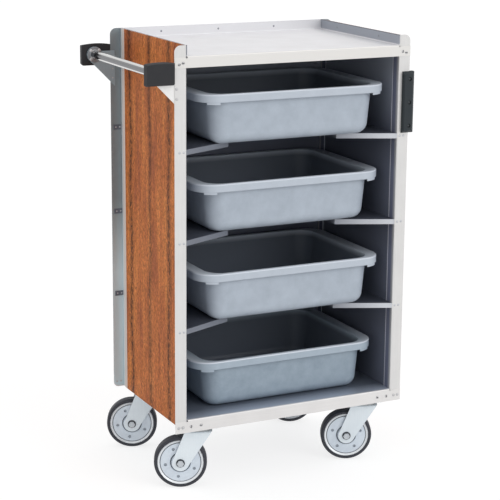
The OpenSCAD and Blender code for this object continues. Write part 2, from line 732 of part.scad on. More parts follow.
// Place of the floor radius's centre, measured out from a corner's centre, and the wall above it
tote_foot = body_corner_r - tote_floor_r * cos(tote_draft)
    - (tote_h - tote_floor_r * (1 - sin(tote_draft))) * tan(tote_draft);
function wall_start(r) = [tote_foot, tote_floor_r] + r * [cos(tote_draft), -sin(tote_draft)];
function wall_top(r) = [wall_start(r)[0] + (tote_h - wall_start(r)[1]) * tan(tote_draft), tote_h];

module tote_wall_section() {
    inner_r = tote_floor_r - tote_wall;
    square([tote_foot, tote_wall]);
    translate([tote_foot, tote_floor_r]) intersection() {
        difference() {
            circle(tote_floor_r);
            circle(inner_r);
        }
        polygon(tote_h * [[0, 0], [0, -1], [1, -1], [1, -tan(tote_draft)]]);
    }
    polygon([wall_start(inner_r), wall_start(tote_floor_r), wall_top(tote_floor_r), wall_top(inner_r)]);
}

// Rolled edge of the rim: a short flat and the skirt that hangs from it
module rim_section() {
    translate([rim_corner_r - tote_wall, tote_h - skirt_h]) square([tote_wall, skirt_h - rim_edge_r]);
    translate([rim_corner_r - tote_wall, tote_h - tote_wall]) square([tote_wall - rim_edge_r, tote_wall]);
    translate([rim_corner_r - rim_edge_r, tote_h - rim_edge_r]) circle(rim_edge_r);
}

module tote(n) color("#8b97a3") translate([mid_x + tote_shift, tote_y(n), tier_z(n) + tote_lift]) {
    frame_sweep(grip_wall_l, side_wall_w, body_corner_r) tote_wall_section();
    linear_extrude(tote_wall)
        square([grip_wall_l - 2 * body_corner_r, side_wall_w - 2 * body_corner_r], center = true);
    frame_sweep(tote_l, tote_w, rim_corner_r) rim_section();
    translate([0, 0, tote_h - tote_wall]) linear_extrude(tote_wall) difference() {
        rounded_rect(tote_l - 2 * tote_wall, tote_w - 2 * tote_wall, rim_corner_r - tote_wall);
        rounded_rect(grip_wall_l - 2 * tote_wall, side_wall_w - 2 * tote_wall, body_corner_r - tote_wall);
    }
}

base_shelf();
base_channel(-1);  // base_channel_left
base_channel(1);  // base_channel_right
top_shelf();
for (corner = CORNERS) {
    post(corner[1], corner[2]);
    caster_plate(corner[1], corner[2]);
    fork(corner[1], corner[2]);
    axle(corner[1], corner[2]);
    wheel(corner[1], corner[2]);
    tyre(corner[1], corner[2]);
}
end_panel(-1);  // end_panel_left
end_panel(1);  // end_panel_right
back_panel();
laminate(-1);  // laminate_left
laminate(1);  // laminate_right
laminate_back();
for (n = [1 : ledge_count]) {
    ledge(-1, n);
    ledge(1, n);
}
push_handle();
handle_bracket(-1);  // handle_bracket_front
handle_bracket(1);  // handle_bracket_back
handle_bumper(-1);  // handle_bumper_front
handle_bumper(1);  // handle_bumper_back
corner_guard(-1);  // corner_guard_front
corner_guard(1);  // corner_guard_back
base_bolts();
ledge_rivets();
fascia_screws();
handle_screws();
guard_screws();
plate_bolts();
kingpins();
swivel_balls();
for (n = [1 : tiers]) tote(n);
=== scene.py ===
import json
import math
import random

import bmesh
import bpy
from mathutils import Matrix, Vector


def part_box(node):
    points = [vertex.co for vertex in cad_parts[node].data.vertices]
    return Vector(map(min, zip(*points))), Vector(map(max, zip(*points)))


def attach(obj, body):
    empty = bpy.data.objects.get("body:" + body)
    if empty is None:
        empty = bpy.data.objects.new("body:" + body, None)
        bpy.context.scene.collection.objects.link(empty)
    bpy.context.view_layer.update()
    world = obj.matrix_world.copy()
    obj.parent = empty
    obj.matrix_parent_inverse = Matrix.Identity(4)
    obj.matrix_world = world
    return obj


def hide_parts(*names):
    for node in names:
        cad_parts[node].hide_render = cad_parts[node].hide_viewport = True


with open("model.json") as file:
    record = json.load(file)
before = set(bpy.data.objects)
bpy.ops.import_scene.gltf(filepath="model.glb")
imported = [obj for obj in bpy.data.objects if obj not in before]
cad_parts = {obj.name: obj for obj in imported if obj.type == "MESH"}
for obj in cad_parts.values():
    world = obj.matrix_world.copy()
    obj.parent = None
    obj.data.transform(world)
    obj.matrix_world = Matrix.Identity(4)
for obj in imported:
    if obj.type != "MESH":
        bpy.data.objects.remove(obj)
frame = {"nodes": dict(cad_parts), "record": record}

# Tray return trolley. Lengths are in metres, angles in degrees, colours in sRGB steps of 0 to 255.

MM = 0.001
NODES = frame["nodes"]
BODY_OF = {
    node: body
    for body, members in frame["record"]["behaviour"]["bodies"].items()
    for node in members
}
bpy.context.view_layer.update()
CORNERS = ("front_left", "front_right", "back_left", "back_right")
TIERS = (1, 2, 3, 4)
LEDGES = (1, 2, 3)


# Shader nodes

WHITE = (1, 1, 1, 1)
BLACK = (0, 0, 0, 1)
NOISE_ROUGHNESS = 0.55
# Sockets of a mix node that are for colours
MIX_SHARE = 0
MIX_FIRST = 6
MIX_SECOND = 7
MIX_RESULT = 2


def linear(tone):
    """A colour for a shader socket from sRGB steps, by the sRGB curve."""
    steps = [step / 255 for step in tone]
    return [s / 12.92 if s <= 0.04045 else ((s + 0.055) / 1.055) ** 2.4 for s in steps] + [1]


def feed(tree, socket, value):
    """Gives a socket a plain value, or links it to another socket."""
    if isinstance(value, bpy.types.NodeSocket):
        tree.links.new(value, socket)
    else:
        socket.default_value = value


def add_node(tree, kind, settings=(), sockets=()):
    """A node with its settings and what its sockets take, each a dict."""
    made = tree.nodes.new(kind)
    for key, value in dict(settings).items():
        setattr(made, key, value)
    for key, value in dict(sockets).items():
        feed(tree, made.inputs[key], value)
    return made


def noise(tree, vector, scale, detail, roughness=NOISE_ROUGHNESS):
    sockets = {"Vector": vector, "Scale": scale, "Detail": detail, "Roughness": roughness}
    return add_node(tree, "ShaderNodeTexNoise", sockets=sockets).outputs["Fac"]


def stretched(tree, vector, stretch):
    sockets = {"Vector": vector, "Scale": stretch}
    return add_node(tree, "ShaderNodeMapping", sockets=sockets).outputs["Vector"]


def spread(tree, value, low, high, to_low=0.0, to_high=1.0):
    """A value stretched from one range to another and clamped; a range may run downwards."""
    sockets = {"Value": value, "From Min": low, "From Max": high, "To Min": to_low, "To Max": to_high}
    return add_node(tree, "ShaderNodeMapRange", sockets=sockets).outputs["Result"]


def calc(tree, operation, *values):
    return add_node(tree, "ShaderNodeMath", {"operation": operation}, enumerate(values)).outputs[0]


def times(tree, first, second):
    return calc(tree, "MULTIPLY", first, second)


def mix_colours(tree, share, first, second, blend="MIX"):
    settings = {"data_type": "RGBA", "blend_type": blend}
    sockets = {MIX_SHARE: share, MIX_FIRST: first, MIX_SECOND: second}
    return add_node(tree, "ShaderNodeMix", settings, sockets).outputs[MIX_RESULT]


def mix_tones(tree, share, first, second):
    return mix_colours(tree, share, linear(first), linear(second))


def colour_ramp(tree, value, stops):
    """A ramp through stops, each (place, colour)."""
    ramp = add_node(tree, "ShaderNodeValToRGB", sockets={"Fac": value})
    marks = ramp.color_ramp.elements
    while len(marks) < len(stops):
        marks.new(0.5)
    for mark, (place, colour) in zip(marks, stops):
        mark.position = place
        mark.color = colour
    return ramp.outputs["Color"]


def tone_ramp(tree, value, tones):
    """A ramp through tones, each (place, tone)."""
    return colour_ramp(tree, value, [(place, linear(tone)) for place, tone in tones])


# Camera and studio

PHOTO_SIZE = 500
FOCAL_PX = 1670.63
SENSOR = 36.0
CAMERA_PLACE = (-1.8546, -3.7831, 1.5830)
CAMERA_YAW = 26.267
CAMERA_PITCH = 13.680
CAMERA_ROLL = 0.472

WORLD_LIGHT = 0.78
KEY_LIGHT = 0.66
KEY_FROM = (0.42, -0.78, 0.47)
LIGHT_SPREAD = 40
FLOOR_R = 40.0
FLOOR_SEGMENTS = 64
FLOOR_GLOW = 0.76
FLOOR_TONE = (236, 236, 236)
FLOOR_SEEN_TONE = (156, 156, 156)


def link_object(name, data):
    made = bpy.data.objects.new(name, data)
    bpy.context.scene.collection.objects.link(made)
    return made


def make_camera():
    data = bpy.data.cameras.new("camera")
    data.sensor_width = SENSOR
    data.lens = FOCAL_PX / PHOTO_SIZE * SENSOR
    camera = link_object("camera", data)
    turn = (
        Matrix.Rotation(math.radians(-CAMERA_YAW), 4, "Z")
        @ Matrix.Rotation(math.radians(90 - CAMERA_PITCH), 4, "X")
        @ Matrix.Rotation(math.radians(CAMERA_ROLL), 4, "Z")
    )
    camera.matrix_world = Matrix.Translation(CAMERA_PLACE) @ turn
    bpy.context.scene.camera = camera


def make_lamp(name, strength, come_from):
    data = bpy.data.lights.new(name, "SUN")
    data.energy = strength
    data.angle = math.radians(LIGHT_SPREAD)
    lamp = link_object(name, data)
    lamp.rotation_euler = Vector(come_from).to_track_quat("Z", "Y").to_euler()


def seen_directly(tree):
    """1 for rays that show the background as it looks: from the camera, in gloss and through glass."""
    path = tree.nodes.new("ShaderNodeLightPath").outputs
    onward = calc(tree, "MAXIMUM", path["Is Glossy Ray"], path["Is Transmission Ray"])
    return calc(tree, "MAXIMUM", path["Is Camera Ray"], onward)


def make_world():
    """Soft light from all round before a white background."""
    world = bpy.data.worlds.new("studio")
    bpy.context.scene.world = world
    world.use_nodes = True
    tree = world.node_tree
    ambient = tree.nodes["Background"]
    ambient.inputs["Color"].default_value = WHITE
    ambient.inputs["Strength"].default_value = WORLD_LIGHT
    white = add_node(tree, "ShaderNodeBackground", sockets={"Color": WHITE})
    sockets = {0: seen_directly(tree), 1: ambient.outputs[0], 2: white.outputs[0]}
    mix = add_node(tree, "ShaderNodeMixShader", sockets=sockets)
    tree.links.new(mix.outputs[0], tree.nodes["World Output"].inputs["Surface"])


def make_floor():
    """A white floor that takes shadows and runs into the background."""
    shape = bmesh.new()
    bmesh.ops.create_circle(shape, cap_ends=True, segments=FLOOR_SEGMENTS, radius=FLOOR_R)
    mesh = bpy.data.meshes.new("floor")
    shape.to_mesh(mesh)
    shape.free()
    floor = link_object("floor", mesh)
    material = bpy.data.materials.new("floor")
    material.use_nodes = True
    tree = material.node_tree
    tree.nodes.remove(tree.nodes["Principled BSDF"])
    seen = seen_directly(tree)
    tone = mix_tones(tree, seen, FLOOR_TONE, FLOOR_SEEN_TONE)
    matt = add_node(tree, "ShaderNodeBsdfDiffuse", sockets={"Color": tone})
    glow = add_node(tree, "ShaderNodeEmission", sockets={"Strength": times(tree, seen, FLOOR_GLOW)})
    both = add_node(tree, "ShaderNodeAddShader", sockets={0: matt.outputs[0], 1: glow.outputs[0]})
    tree.links.new(both.outputs[0], tree.nodes["Material Output"].inputs["Surface"])
    mesh.materials.append(material)


# Patterns that several finishes share. A range is (low, high) or (low, high, low after, high after).

VECTOR = "NodeSocketVector"
COLOUR = "NodeSocketColor"
NUMBER = "NodeSocketFloat"
PATTERN_OUTPUTS = {"Color": COLOUR, "Roughness": NUMBER, "Height": NUMBER}


def open_pattern(name, inputs):
    """A shader group with its inputs, a dict of kinds by name, and the outputs of every pattern."""
    group = bpy.data.node_groups.new(name, "ShaderNodeTree")
    for socket, kind in inputs.items():
        group.interface.new_socket(socket, in_out="INPUT", socket_type=kind)
    for socket, kind in PATTERN_OUTPUTS.items():
        group.interface.new_socket(socket, in_out="OUTPUT", socket_type=kind)
    return group, group.nodes.new("NodeGroupInput").outputs


def close_pattern(group, colour, roughness, height):
    """Leads a pattern's results to its outputs."""
    sockets = {"Color": colour, "Roughness": roughness, "Height": height}
    add_node(group, "NodeGroupOutput", sockets=sockets)
    return group


LINE_SCALE = 1.0
LINE_DETAIL = 4.0
LINE_ROUGHNESS = 0.7
LINE_SHARE = 0.55
STAIN_SCALE = 14.0
STAIN_DETAIL = 5.0
STAIN_SHARE = 0.45
GRAIN_TONE_RANGE = (0.36, 0.64)
GRAIN_GLOSS_RANGE = (0.35, 0.65)


def rolled_grain_group():
    """Fine lines left in sheet by rolling and brushing, for coordinates stretched along the lines."""
    inputs = {"Grain Vector": VECTOR, "Cloud Vector": VECTOR}
    inputs |= {"Light Tone": COLOUR, "Dark Tone": COLOUR, "Smooth": NUMBER, "Rough": NUMBER}
    group, given = open_pattern("rolled grain", inputs)
    lines = noise(group, given["Grain Vector"], LINE_SCALE, LINE_DETAIL, LINE_ROUGHNESS)
    stains = noise(group, given["Cloud Vector"], STAIN_SCALE, STAIN_DETAIL)
    total = calc(group, "MULTIPLY_ADD", lines, LINE_SHARE, times(group, stains, STAIN_SHARE))
    share = spread(group, total, *GRAIN_TONE_RANGE)
    colour = mix_colours(group, share, given["Dark Tone"], given["Light Tone"])
    rough = spread(group, total, *GRAIN_GLOSS_RANGE, given["Rough"], given["Smooth"])
    return close_pattern(group, colour, rough, lines)


CLOUD_DETAIL = 6.0
CLOUD_ROUGHNESS = 0.62
PEBBLE_DETAIL = 2.0
SPECKLE_RANGE = (0.55, 0.75, 0.0, 0.35)
SKIN_TONE_RANGE = (0.3, 0.72)
SKIN_GLOSS_RANGE = (0.3, 0.7)


def moulded_skin_group():
    """Cloudy tone, fine speckle and a pebbled surface, as on moulded plastic and rubber."""
    inputs = {"Vector": VECTOR, "Tone": COLOUR, "Pale Tone": COLOUR}
    inputs |= {"Cloud Scale": NUMBER, "Pebble Scale": NUMBER, "Smooth": NUMBER, "Rough": NUMBER}
    group, given = open_pattern("moulded skin", inputs)
    clouds = noise(group, given["Vector"], given["Cloud Scale"], CLOUD_DETAIL, CLOUD_ROUGHNESS)
    pebbles = noise(group, given["Vector"], given["Pebble Scale"], PEBBLE_DETAIL)
    speckle = spread(group, pebbles, *SPECKLE_RANGE)
    share = calc(group, "ADD", spread(group, clouds, *SKIN_TONE_RANGE), speckle)
    colour = mix_colours(group, share, given["Tone"], given["Pale Tone"])
    rough = spread(group, clouds, *SKIN_GLOSS_RANGE, given["Smooth"], given["Rough"])
    return close_pattern(group, colour, rough, pebbles)


# Tones of the wood's bands, from dull to bright
WOOD_TONES = ((0.34, (176, 96, 56)), (0.48, (206, 118, 60)), (0.62, (226, 138, 72)))
STREAK_TONE = (54, 25, 10)
# Dark streaks of the laminate: place as a share of the width from the back edge, and strength
STREAKS = ((0.13, 1.0), (0.45, 0.85), (0.76, 0.95), (0.985, 0.8))
STREAK_HALF_SHARE = 0.045
SWAY_REACH = 0.09
# Layers of the wood's figure: stretch of the coordinates, detail and roughness
WOOD_SWAY = ((3, 3, 4.5), 2.0, 0.55)
WOOD_BANDS = ((30, 30, 3.2), 5.0, 0.66)
WOOD_BREAKS = ((260, 260, 80), 4.0, 0.7)
WOOD_FLECKS = ((240, 240, 95), 3.0, 0.6)
WOOD_FIBRES = ((330, 330, 36), 5.0, 0.68)
WOOD_PORES = ((420, 420, 170), 2.0, 0.55)
BREAK_RANGE = (0.4, 0.52)
FLECK_SHADE_RANGE = (0.34, 0.64, 0.6, 1.16)
FIBRE_SHADE_RANGE = (0.32, 0.66, 0.7, 1.14)
PORE_SHADE_RANGE = (0.56, 0.68, 1.0, 0.4)
FIBRE_GLOSS_RANGE = (0.3, 0.7, 0.58, 0.44)


def wood_grain_group():
    """Upright wood figure: broad bands, broken dark streaks, fibres and pores."""
    group, given = open_pattern("wood grain", {"Vector": VECTOR, "Across": NUMBER})

    def layer(stretch, detail, roughness):
        return noise(group, stretched(group, given["Vector"], stretch), 1.0, detail, roughness)

    colour = tone_ramp(group, layer(*WOOD_BANDS), WOOD_TONES)
    sway = calc(group, "SUBTRACT", layer(*WOOD_SWAY), 0.5)
    across = calc(group, "MULTIPLY_ADD", sway, SWAY_REACH, given["Across"])
    marks = []
    for place, strength in STREAKS:
        end = min(1.0, place + STREAK_HALF_SHARE)
        marks += [(place - STREAK_HALF_SHARE, BLACK), (place, [strength] * 3 + [1]), (end, BLACK)]
    unbroken = spread(group, layer(*WOOD_BREAKS), *BREAK_RANGE)
    streaks = times(group, colour_ramp(group, across, marks), unbroken)
    colour = mix_colours(group, streaks, colour, linear(STREAK_TONE))
    fibres = layer(*WOOD_FIBRES)
    shade = times(
        group,
        spread(group, layer(*WOOD_FLECKS), *FLECK_SHADE_RANGE),
        spread(group, fibres, *FIBRE_SHADE_RANGE),
    )
    shade = times(group, shade, spread(group, layer(*WOOD_PORES), *PORE_SHADE_RANGE))
    grey = add_node(group, "ShaderNodeCombineColor", sockets={0: shade, 1: shade, 2: shade})
    colour = mix_colours(group, 1.0, colour, grey.outputs["Color"], "MULTIPLY")
    return close_pattern(group, colour, spread(group, fibres, *FIBRE_GLOSS_RANGE), shade)


ROLLED_GRAIN = rolled_grain_group()
MOULDED_SKIN = moulded_skin_group()
WOOD_GRAIN = wood_grain_group()


# Finishes

def new_finish(name, **sockets):
    """A material with its shader's plain values set; underscores in names stand for spaces."""
    material = bpy.data.materials.new(name)
    material.use_nodes = True
    shader = material.node_tree.nodes["Principled BSDF"]
    for socket, value in sockets.items():
        shader.inputs[socket.replace("_", " ")].default_value = value
    return material, material.node_tree, shader


def object_vector(tree):
    return tree.nodes.new("ShaderNodeTexCoord").outputs["Object"]


def places(tree):
    """The object's X, Y and Z at the shaded point."""
    return add_node(tree, "ShaderNodeSeparateXYZ", sockets={"Vector": object_vector(tree)}).outputs


def wear_pattern(tree, shader, group, sockets, depth, strength):
    """Puts a shared pattern on a shader: its colour, roughness and relief."""
    pattern = add_node(tree, "ShaderNodeGroup", {"node_tree": group}, sockets).outputs
    relief = {"Strength": strength, "Distance": depth, "Height": pattern["Height"]}
    bump = add_node(tree, "ShaderNodeBump", sockets=relief)
    tree.links.new(pattern["Color"], shader.inputs["Base Color"])
    tree.links.new(pattern["Roughness"], shader.inputs["Roughness"])
    tree.links.new(bump.outputs["Normal"], shader.inputs["Normal"])


def tint(tree, shader, share, tone):
    """Turns the base colour towards a tone, or a colour socket, where a mask says so."""
    socket = shader.inputs["Base Color"]
    goal = tone if isinstance(tone, bpy.types.NodeSocket) else linear(tone)
    colour = mix_colours(tree, share, socket.links[0].from_socket, goal)
    tree.links.new(colour, socket)


ZONES = "zones"


def tint_zones(tree, shader, table):
    """Tints the zones that a piece's own mesh notes, each (mask, share, tone)."""
    marks = add_node(tree, "ShaderNodeAttribute", {"attribute_name": ZONES}).outputs["Color"]
    masks = add_node(tree, "ShaderNodeSeparateColor", sockets={0: marks}).outputs
    for mask, share, tone in table:
        tint(tree, shader, times(tree, masks[mask], share), tone)


# Rolled and turned steel: roughness where smooth, roughness where rough, and share of metal
SHEET = (0.36, 0.48, 0.3)
FORK_STRIP = (0.3, 0.44, 0.25)
PLATE = (0.32, 0.46, 0.35)
TURNED = (0.3, 0.45, 0.3)
RIVETED = (0.3, 0.45, 0.4)
DARKENED = (0.3, 0.5, 0.5)
GRAIN_ALONG = 9.0
GRAIN_ACROSS = 900.0
GRAIN_STRETCH = {
    "x": (GRAIN_ALONG, GRAIN_ACROSS, GRAIN_ACROSS),
    "y": (GRAIN_ACROSS, GRAIN_ALONG, GRAIN_ACROSS),
    "z": (GRAIN_ACROSS, GRAIN_ACROSS, GRAIN_ALONG),
}
GRAIN_DEPTH = 0.00003
GRAIN_STRENGTH = 0.35


def rolled_steel(name, along, light, dark, surface):
    """Sheet or bar with its grain along one axis."""
    smooth, rough, metal = surface
    material, tree, shader = new_finish(name, Metallic=metal)
    vector = object_vector(tree)
    sockets = {
        "Grain Vector": stretched(tree, vector, GRAIN_STRETCH[along]),
        "Cloud Vector": vector,
        "Light Tone": linear(light),
        "Dark Tone": linear(dark),
        "Smooth": smooth,
        "Rough": rough,
    }
    wear_pattern(tree, shader, ROLLED_GRAIN, sockets, GRAIN_DEPTH, GRAIN_STRENGTH)
    return material, tree, shader


def marked_steel(name, along, light, dark, shaded):
    """Bright steel that is dark where its mesh says so, as in a slot or round a washer."""
    material, tree, shader = rolled_steel(name, along, light, dark, TURNED)
    tint_zones(tree, shader, [("Red", 1.0, shaded)])
    return material


def node_span(node, axis):
    low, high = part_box(node)
    return low["xyz".index(axis)], high["xyz".index(axis)]


FRONT_Y = node_span("post_front_left", "y")[0]
BACK_Y = node_span("post_back_left", "y")[1]
FASCIA_Z, LIP_TOP = node_span("top_shelf", "z")
FASCIA_H = 28 * MM
TOP_Z = FASCIA_Z + FASCIA_H
TOP_LEDGE_Z = node_span("ledge_left_1", "z")[1]
OPENING_LEFT = node_span("post_front_left", "x")[1]
OPENING_RIGHT = node_span("post_front_right", "x")[0]
MIDDLE_X = (OPENING_LEFT + OPENING_RIGHT) / 2
HALF_W = (OPENING_RIGHT - OPENING_LEFT) / 2


def from_middle(tree, place):
    """Distance to the left or right of the opening's middle."""
    return calc(tree, "ABSOLUTE", calc(tree, "SUBTRACT", place["X"], MIDDLE_X))


# Painted shade on the post's faces inside the cabinet, and a painted highlight on the inner flange's edge
POST_INSIDE_SHADE = (126, 130, 152)
POST_INSIDE_SHADE_RANGE = (BACK_Y - 2 * MM, BACK_Y - 14 * MM)
POST_EDGE_HIGHLIGHT = (240, 240, 248)
POST_HIGHLIGHT_FROM = BACK_Y - 28 * MM


def post_steel(name, light, dark):
    """Corner post: bright outside, with painted shade behind the bend and a painted highlight along the
    inner flange's edge.
    """
    material, tree, shader = rolled_steel(name, "z", light, dark, SHEET)
    depth = calc(tree, "ABSOLUTE", places(tree)["Y"])
    tint(tree, shader, spread(tree, depth, *POST_INSIDE_SHADE_RANGE), POST_INSIDE_SHADE)
    tint(tree, shader, calc(tree, "LESS_THAN", depth, POST_HIGHLIGHT_FROM), POST_EDGE_HIGHLIGHT)
    return material, tree, shader


# Painted shade on the front-facing side of the back flanges, tinted cool, lighter low down and darker
# high up
BACK_SHADE_LOW = (206, 224, 231)
BACK_SHADE_HIGH = (137, 149, 155)
BACK_SHADE_HEIGHTS = (0.48, 0.68)
BACK_SHADE_FROM = HALF_W + 0.5 * MM
BACK_SHADE_BEFORE = BACK_Y - 0.6 * MM


def back_post_steel(name, light, dark):
    """The back posts carry painted shade, tinted cool, on the side towards the front, most of all above
    the middle.
    """
    material, tree, shader = post_steel(name, light, dark)
    place = places(tree)
    flange = calc(tree, "GREATER_THAN", from_middle(tree, place), BACK_SHADE_FROM)
    shaded_flange = times(tree, flange, calc(tree, "LESS_THAN", place["Y"], BACK_SHADE_BEFORE))
    height = spread(tree, place["Z"], *BACK_SHADE_HEIGHTS)
    tint(tree, shader, shaded_flange, mix_tones(tree, height, BACK_SHADE_LOW, BACK_SHADE_HIGH))
    return material


FASCIA_TONE = (229, 227, 224)
# Painted shade on the shelf's lips and underside, deepest on the end lips
LIP_SHADE = (226, 226, 229)
LIP_RANGE = (TOP_Z + 0.5 * MM, TOP_Z + 4 * MM)
END_LIP_SHADE = (160, 165, 175)
END_LIP_RANGE = (HALF_W - 2.6 * MM, HALF_W - 1.7 * MM)
LIP_EDGE_TONE = (92, 95, 101)
LIP_EDGE_RANGE = (LIP_TOP - 1.8 * MM, LIP_TOP - 1 * MM)
UNDERSIDE_SHADE = (120, 124, 132)
UNDERSIDE_Z = TOP_Z - 1.2 * MM


def shelf_steel(name, light, dark):
    """Top shelf: painted shade on its lips, deeper on the end lips with a darker line along their top,
    and an underside as dark as the cabinet's painted inside.
    """
    material, tree, shader = rolled_steel(name, "x", light, dark, SHEET)
    place = places(tree)
    lips = spread(tree, place["Z"], *LIP_RANGE)
    tint(tree, shader, calc(tree, "LESS_THAN", place["Y"], FRONT_Y), FASCIA_TONE)
    tint(tree, shader, lips, LIP_SHADE)
    ends = times(tree, lips, spread(tree, from_middle(tree, place), *END_LIP_RANGE))
    tint(tree, shader, ends, END_LIP_SHADE)
    tint(tree, shader, times(tree, ends, spread(tree, place["Z"], *LIP_EDGE_RANGE)), LIP_EDGE_TONE)
    below = calc(tree, "LESS_THAN", place["Z"], UNDERSIDE_Z)
    behind = calc(tree, "GREATER_THAN", place["Y"], FRONT_Y)
    tint(tree, shader, times(tree, below, behind), UNDERSIDE_SHADE)
    return material


# Painted light on the base floor near its front edge, and painted shade further in
FLOOR_EDGE_LIGHT = (160, 174, 196)
FLOOR_EDGE_RANGE = (BACK_Y + 0.4 * MM, BACK_Y - 6 * MM, 0.0, 0.8)
FLOOR_DEEP_SHADE = (112, 120, 134)
FLOOR_DEEP_RANGE = (BACK_Y - 8 * MM, BACK_Y - 58 * MM)


def base_steel(name, light, dark):
    """Base shelf: painted light along the floor's front edge and painted shade further in."""
    material, tree, shader = rolled_steel(name, "x", light, dark, SHEET)
    depth = calc(tree, "ABSOLUTE", places(tree)["Y"])
    tint(tree, shader, spread(tree, depth, *FLOOR_EDGE_RANGE), FLOOR_EDGE_LIGHT)
    tint(tree, shader, spread(tree, depth, *FLOOR_DEEP_RANGE), FLOOR_DEEP_SHADE)
    return material


# Painted shade on the ledges' lips further in and on their tops
LEDGE_DEEP_SHADE = (104, 110, 122)
LEDGE_DEEP_RANGE = (FRONT_Y + 8 * MM, FRONT_Y + 90 * MM)
LEDGE_TOP_SHADE = (84, 88, 100)
LEDGE_TOP_RANGE = (0.5, 0.8)


def ledge_steel(name, light, dark):
    """Ledge: painted shade on top and on its lips further in, so the lips are brightest at the front."""
    material, tree, shader = rolled_steel(name, "y", light, dark, SHEET)
    tint(tree, shader, spread(tree, places(tree)["Y"], *LEDGE_DEEP_RANGE), LEDGE_DEEP_SHADE)
    normal = tree.nodes.new("ShaderNodeTexCoord").outputs["Normal"]
    level = add_node(tree, "ShaderNodeSeparateXYZ", sockets={"Vector": normal}).outputs["Z"]
    on_top = spread(tree, calc(tree, "ABSOLUTE", level), *LEDGE_TOP_RANGE)
    tint(tree, shader, on_top, LEDGE_TOP_SHADE)
    return material


PANEL_LIGHT = (238, 238, 238)
PANEL_DARK = (228, 228, 228)
PANEL_PALE = (246, 234, 228)
PANEL_EDGE = BACK_Y - 11 * MM
PANEL_PALE_RANGE = (PANEL_EDGE + 1 * MM, PANEL_EDGE - 3 * MM)
# Painted shade on the sheet's faces inside the cabinet, lighter above the top ledge
INSIDE_SHADE_LOW = (117, 122, 138)
INSIDE_SHADE_HIGH = (184, 190, 202)


def panel_steel(name, node, axis, inner_side):
    """Sheet that is bright outside, with painted shade on the side that faces into the cabinet.

    The painted shade is lighter above the top ledge than below it.
    """
    material, tree, shader = rolled_steel(name, "z", PANEL_LIGHT, PANEL_DARK, SHEET)
    place = places(tree)
    tint(tree, shader, spread(tree, place["Y"], *PANEL_PALE_RANGE), PANEL_PALE)
    past = calc(tree, "SUBTRACT", place[axis.upper()], sum(node_span(node, axis)) / 2)
    inside = calc(tree, "GREATER_THAN", times(tree, past, inner_side), 0.0)
    height = spread(tree, place["Z"], TOP_LEDGE_Z, FASCIA_Z)
    tint(tree, shader, inside, mix_tones(tree, height, INSIDE_SHADE_LOW, INSIDE_SHADE_HIGH))
    return material


WOOD_SHINE = 0.12
WOOD_DEPTH = 0.00008
WOOD_STRENGTH = 0.4
STRIP_SHARE = 0.038
STRIP_TONE = (226, 212, 205)


def wood_laminate(name, axis, back, front, strip=False):
    """Wood-look laminate with upright grain, its streaks spread from back to front along an axis.

    An end skin has a narrow strip of bare steel along its back edge.
    """
    material, tree, shader = new_finish(name, Specular_IOR_Level=WOOD_SHINE)
    across = spread(tree, places(tree)[axis.upper()], back, front)
    sockets = {"Vector": object_vector(tree), "Across": across}
    wear_pattern(tree, shader, WOOD_GRAIN, sockets, WOOD_DEPTH, WOOD_STRENGTH)
    if strip:
        tint(tree, shader, calc(tree, "LESS_THAN", across, STRIP_SHARE), STRIP_TONE)
    return material


# Moulded skins: scale of clouds, scale of pebbles, roughness from smooth to rough, and depth of pebbles
TOTE_SKIN = (26.0, 620.0, 0.36, 0.52, 0.00012)
RUBBER_SKIN = (40.0, 1400.0, 0.6, 0.75, 0.00008)
TYRE_SKIN = (30.0, 1100.0, 0.5, 0.7, 0.00008)
DISC_SKIN = (50.0, 1500.0, 0.3, 0.44, 0.00003)
SKIN_STRENGTH = 0.6


def moulded(name, tone, pale, skin, **plain):
    """Plastic, rubber or a sprayed disc, with the shader's plain values as given."""
    clouds, pebbles, smooth, rough, depth = skin
    material, tree, shader = new_finish(name, **plain)
    sockets = {
        "Vector": object_vector(tree),
        "Tone": linear(tone),
        "Pale Tone": linear(pale),
        "Cloud Scale": clouds,
        "Pebble Scale": pebbles,
        "Smooth": smooth,
        "Rough": rough,
    }
    wear_pattern(tree, shader, MOULDED_SKIN, sockets, depth, SKIN_STRENGTH)
    return material, tree, shader


TOTE_SHINE = 0.4
# Painted highlight on the tote's rim and along its top edge, and painted shade inside
TOTE_RIM_HIGHLIGHT_SHARE = 0.35
TOTE_INSIDE_SHADE = (108, 116, 129)
TOTE_EDGE_HIGHLIGHT = (216, 223, 233)


def tote_plastic(name, tone, pale, rim):
    """Moulded tote: painted shade inside, and a painted highlight on the rim, brightest along its top
    edge.
    """
    material, tree, shader = moulded(name, tone, pale, TOTE_SKIN, Specular_IOR_Level=TOTE_SHINE)
    table = [("Green", TOTE_RIM_HIGHLIGHT_SHARE, rim), ("Blue", 1.0, TOTE_EDGE_HIGHLIGHT), ("Red", 1.0, TOTE_INSIDE_SHADE)]
    tint_zones(tree, shader, table)
    return material


DISC_METAL = 0.25
# Zones of a wheel disc: painted shade in its grooves, painted shade in its dimples and a painted
# highlight on its rim
DISC_ZONES = (
    ("Red", 0.85, (70, 76, 84)),
    ("Blue", 0.6, (104, 110, 120)),
    ("Green", 0.8, (246, 248, 250)),
)


def wheel_disc(name, tone, pale):
    """Pressed wheel disc with painted shade in its grooves and dimples and a painted highlight on its
    rim.
    """
    material, tree, shader = moulded(name, tone, pale, DISC_SKIN, Metallic=DISC_METAL)
    tint_zones(tree, shader, DISC_ZONES)
    return material


TUBE_R = 11.1 * MM
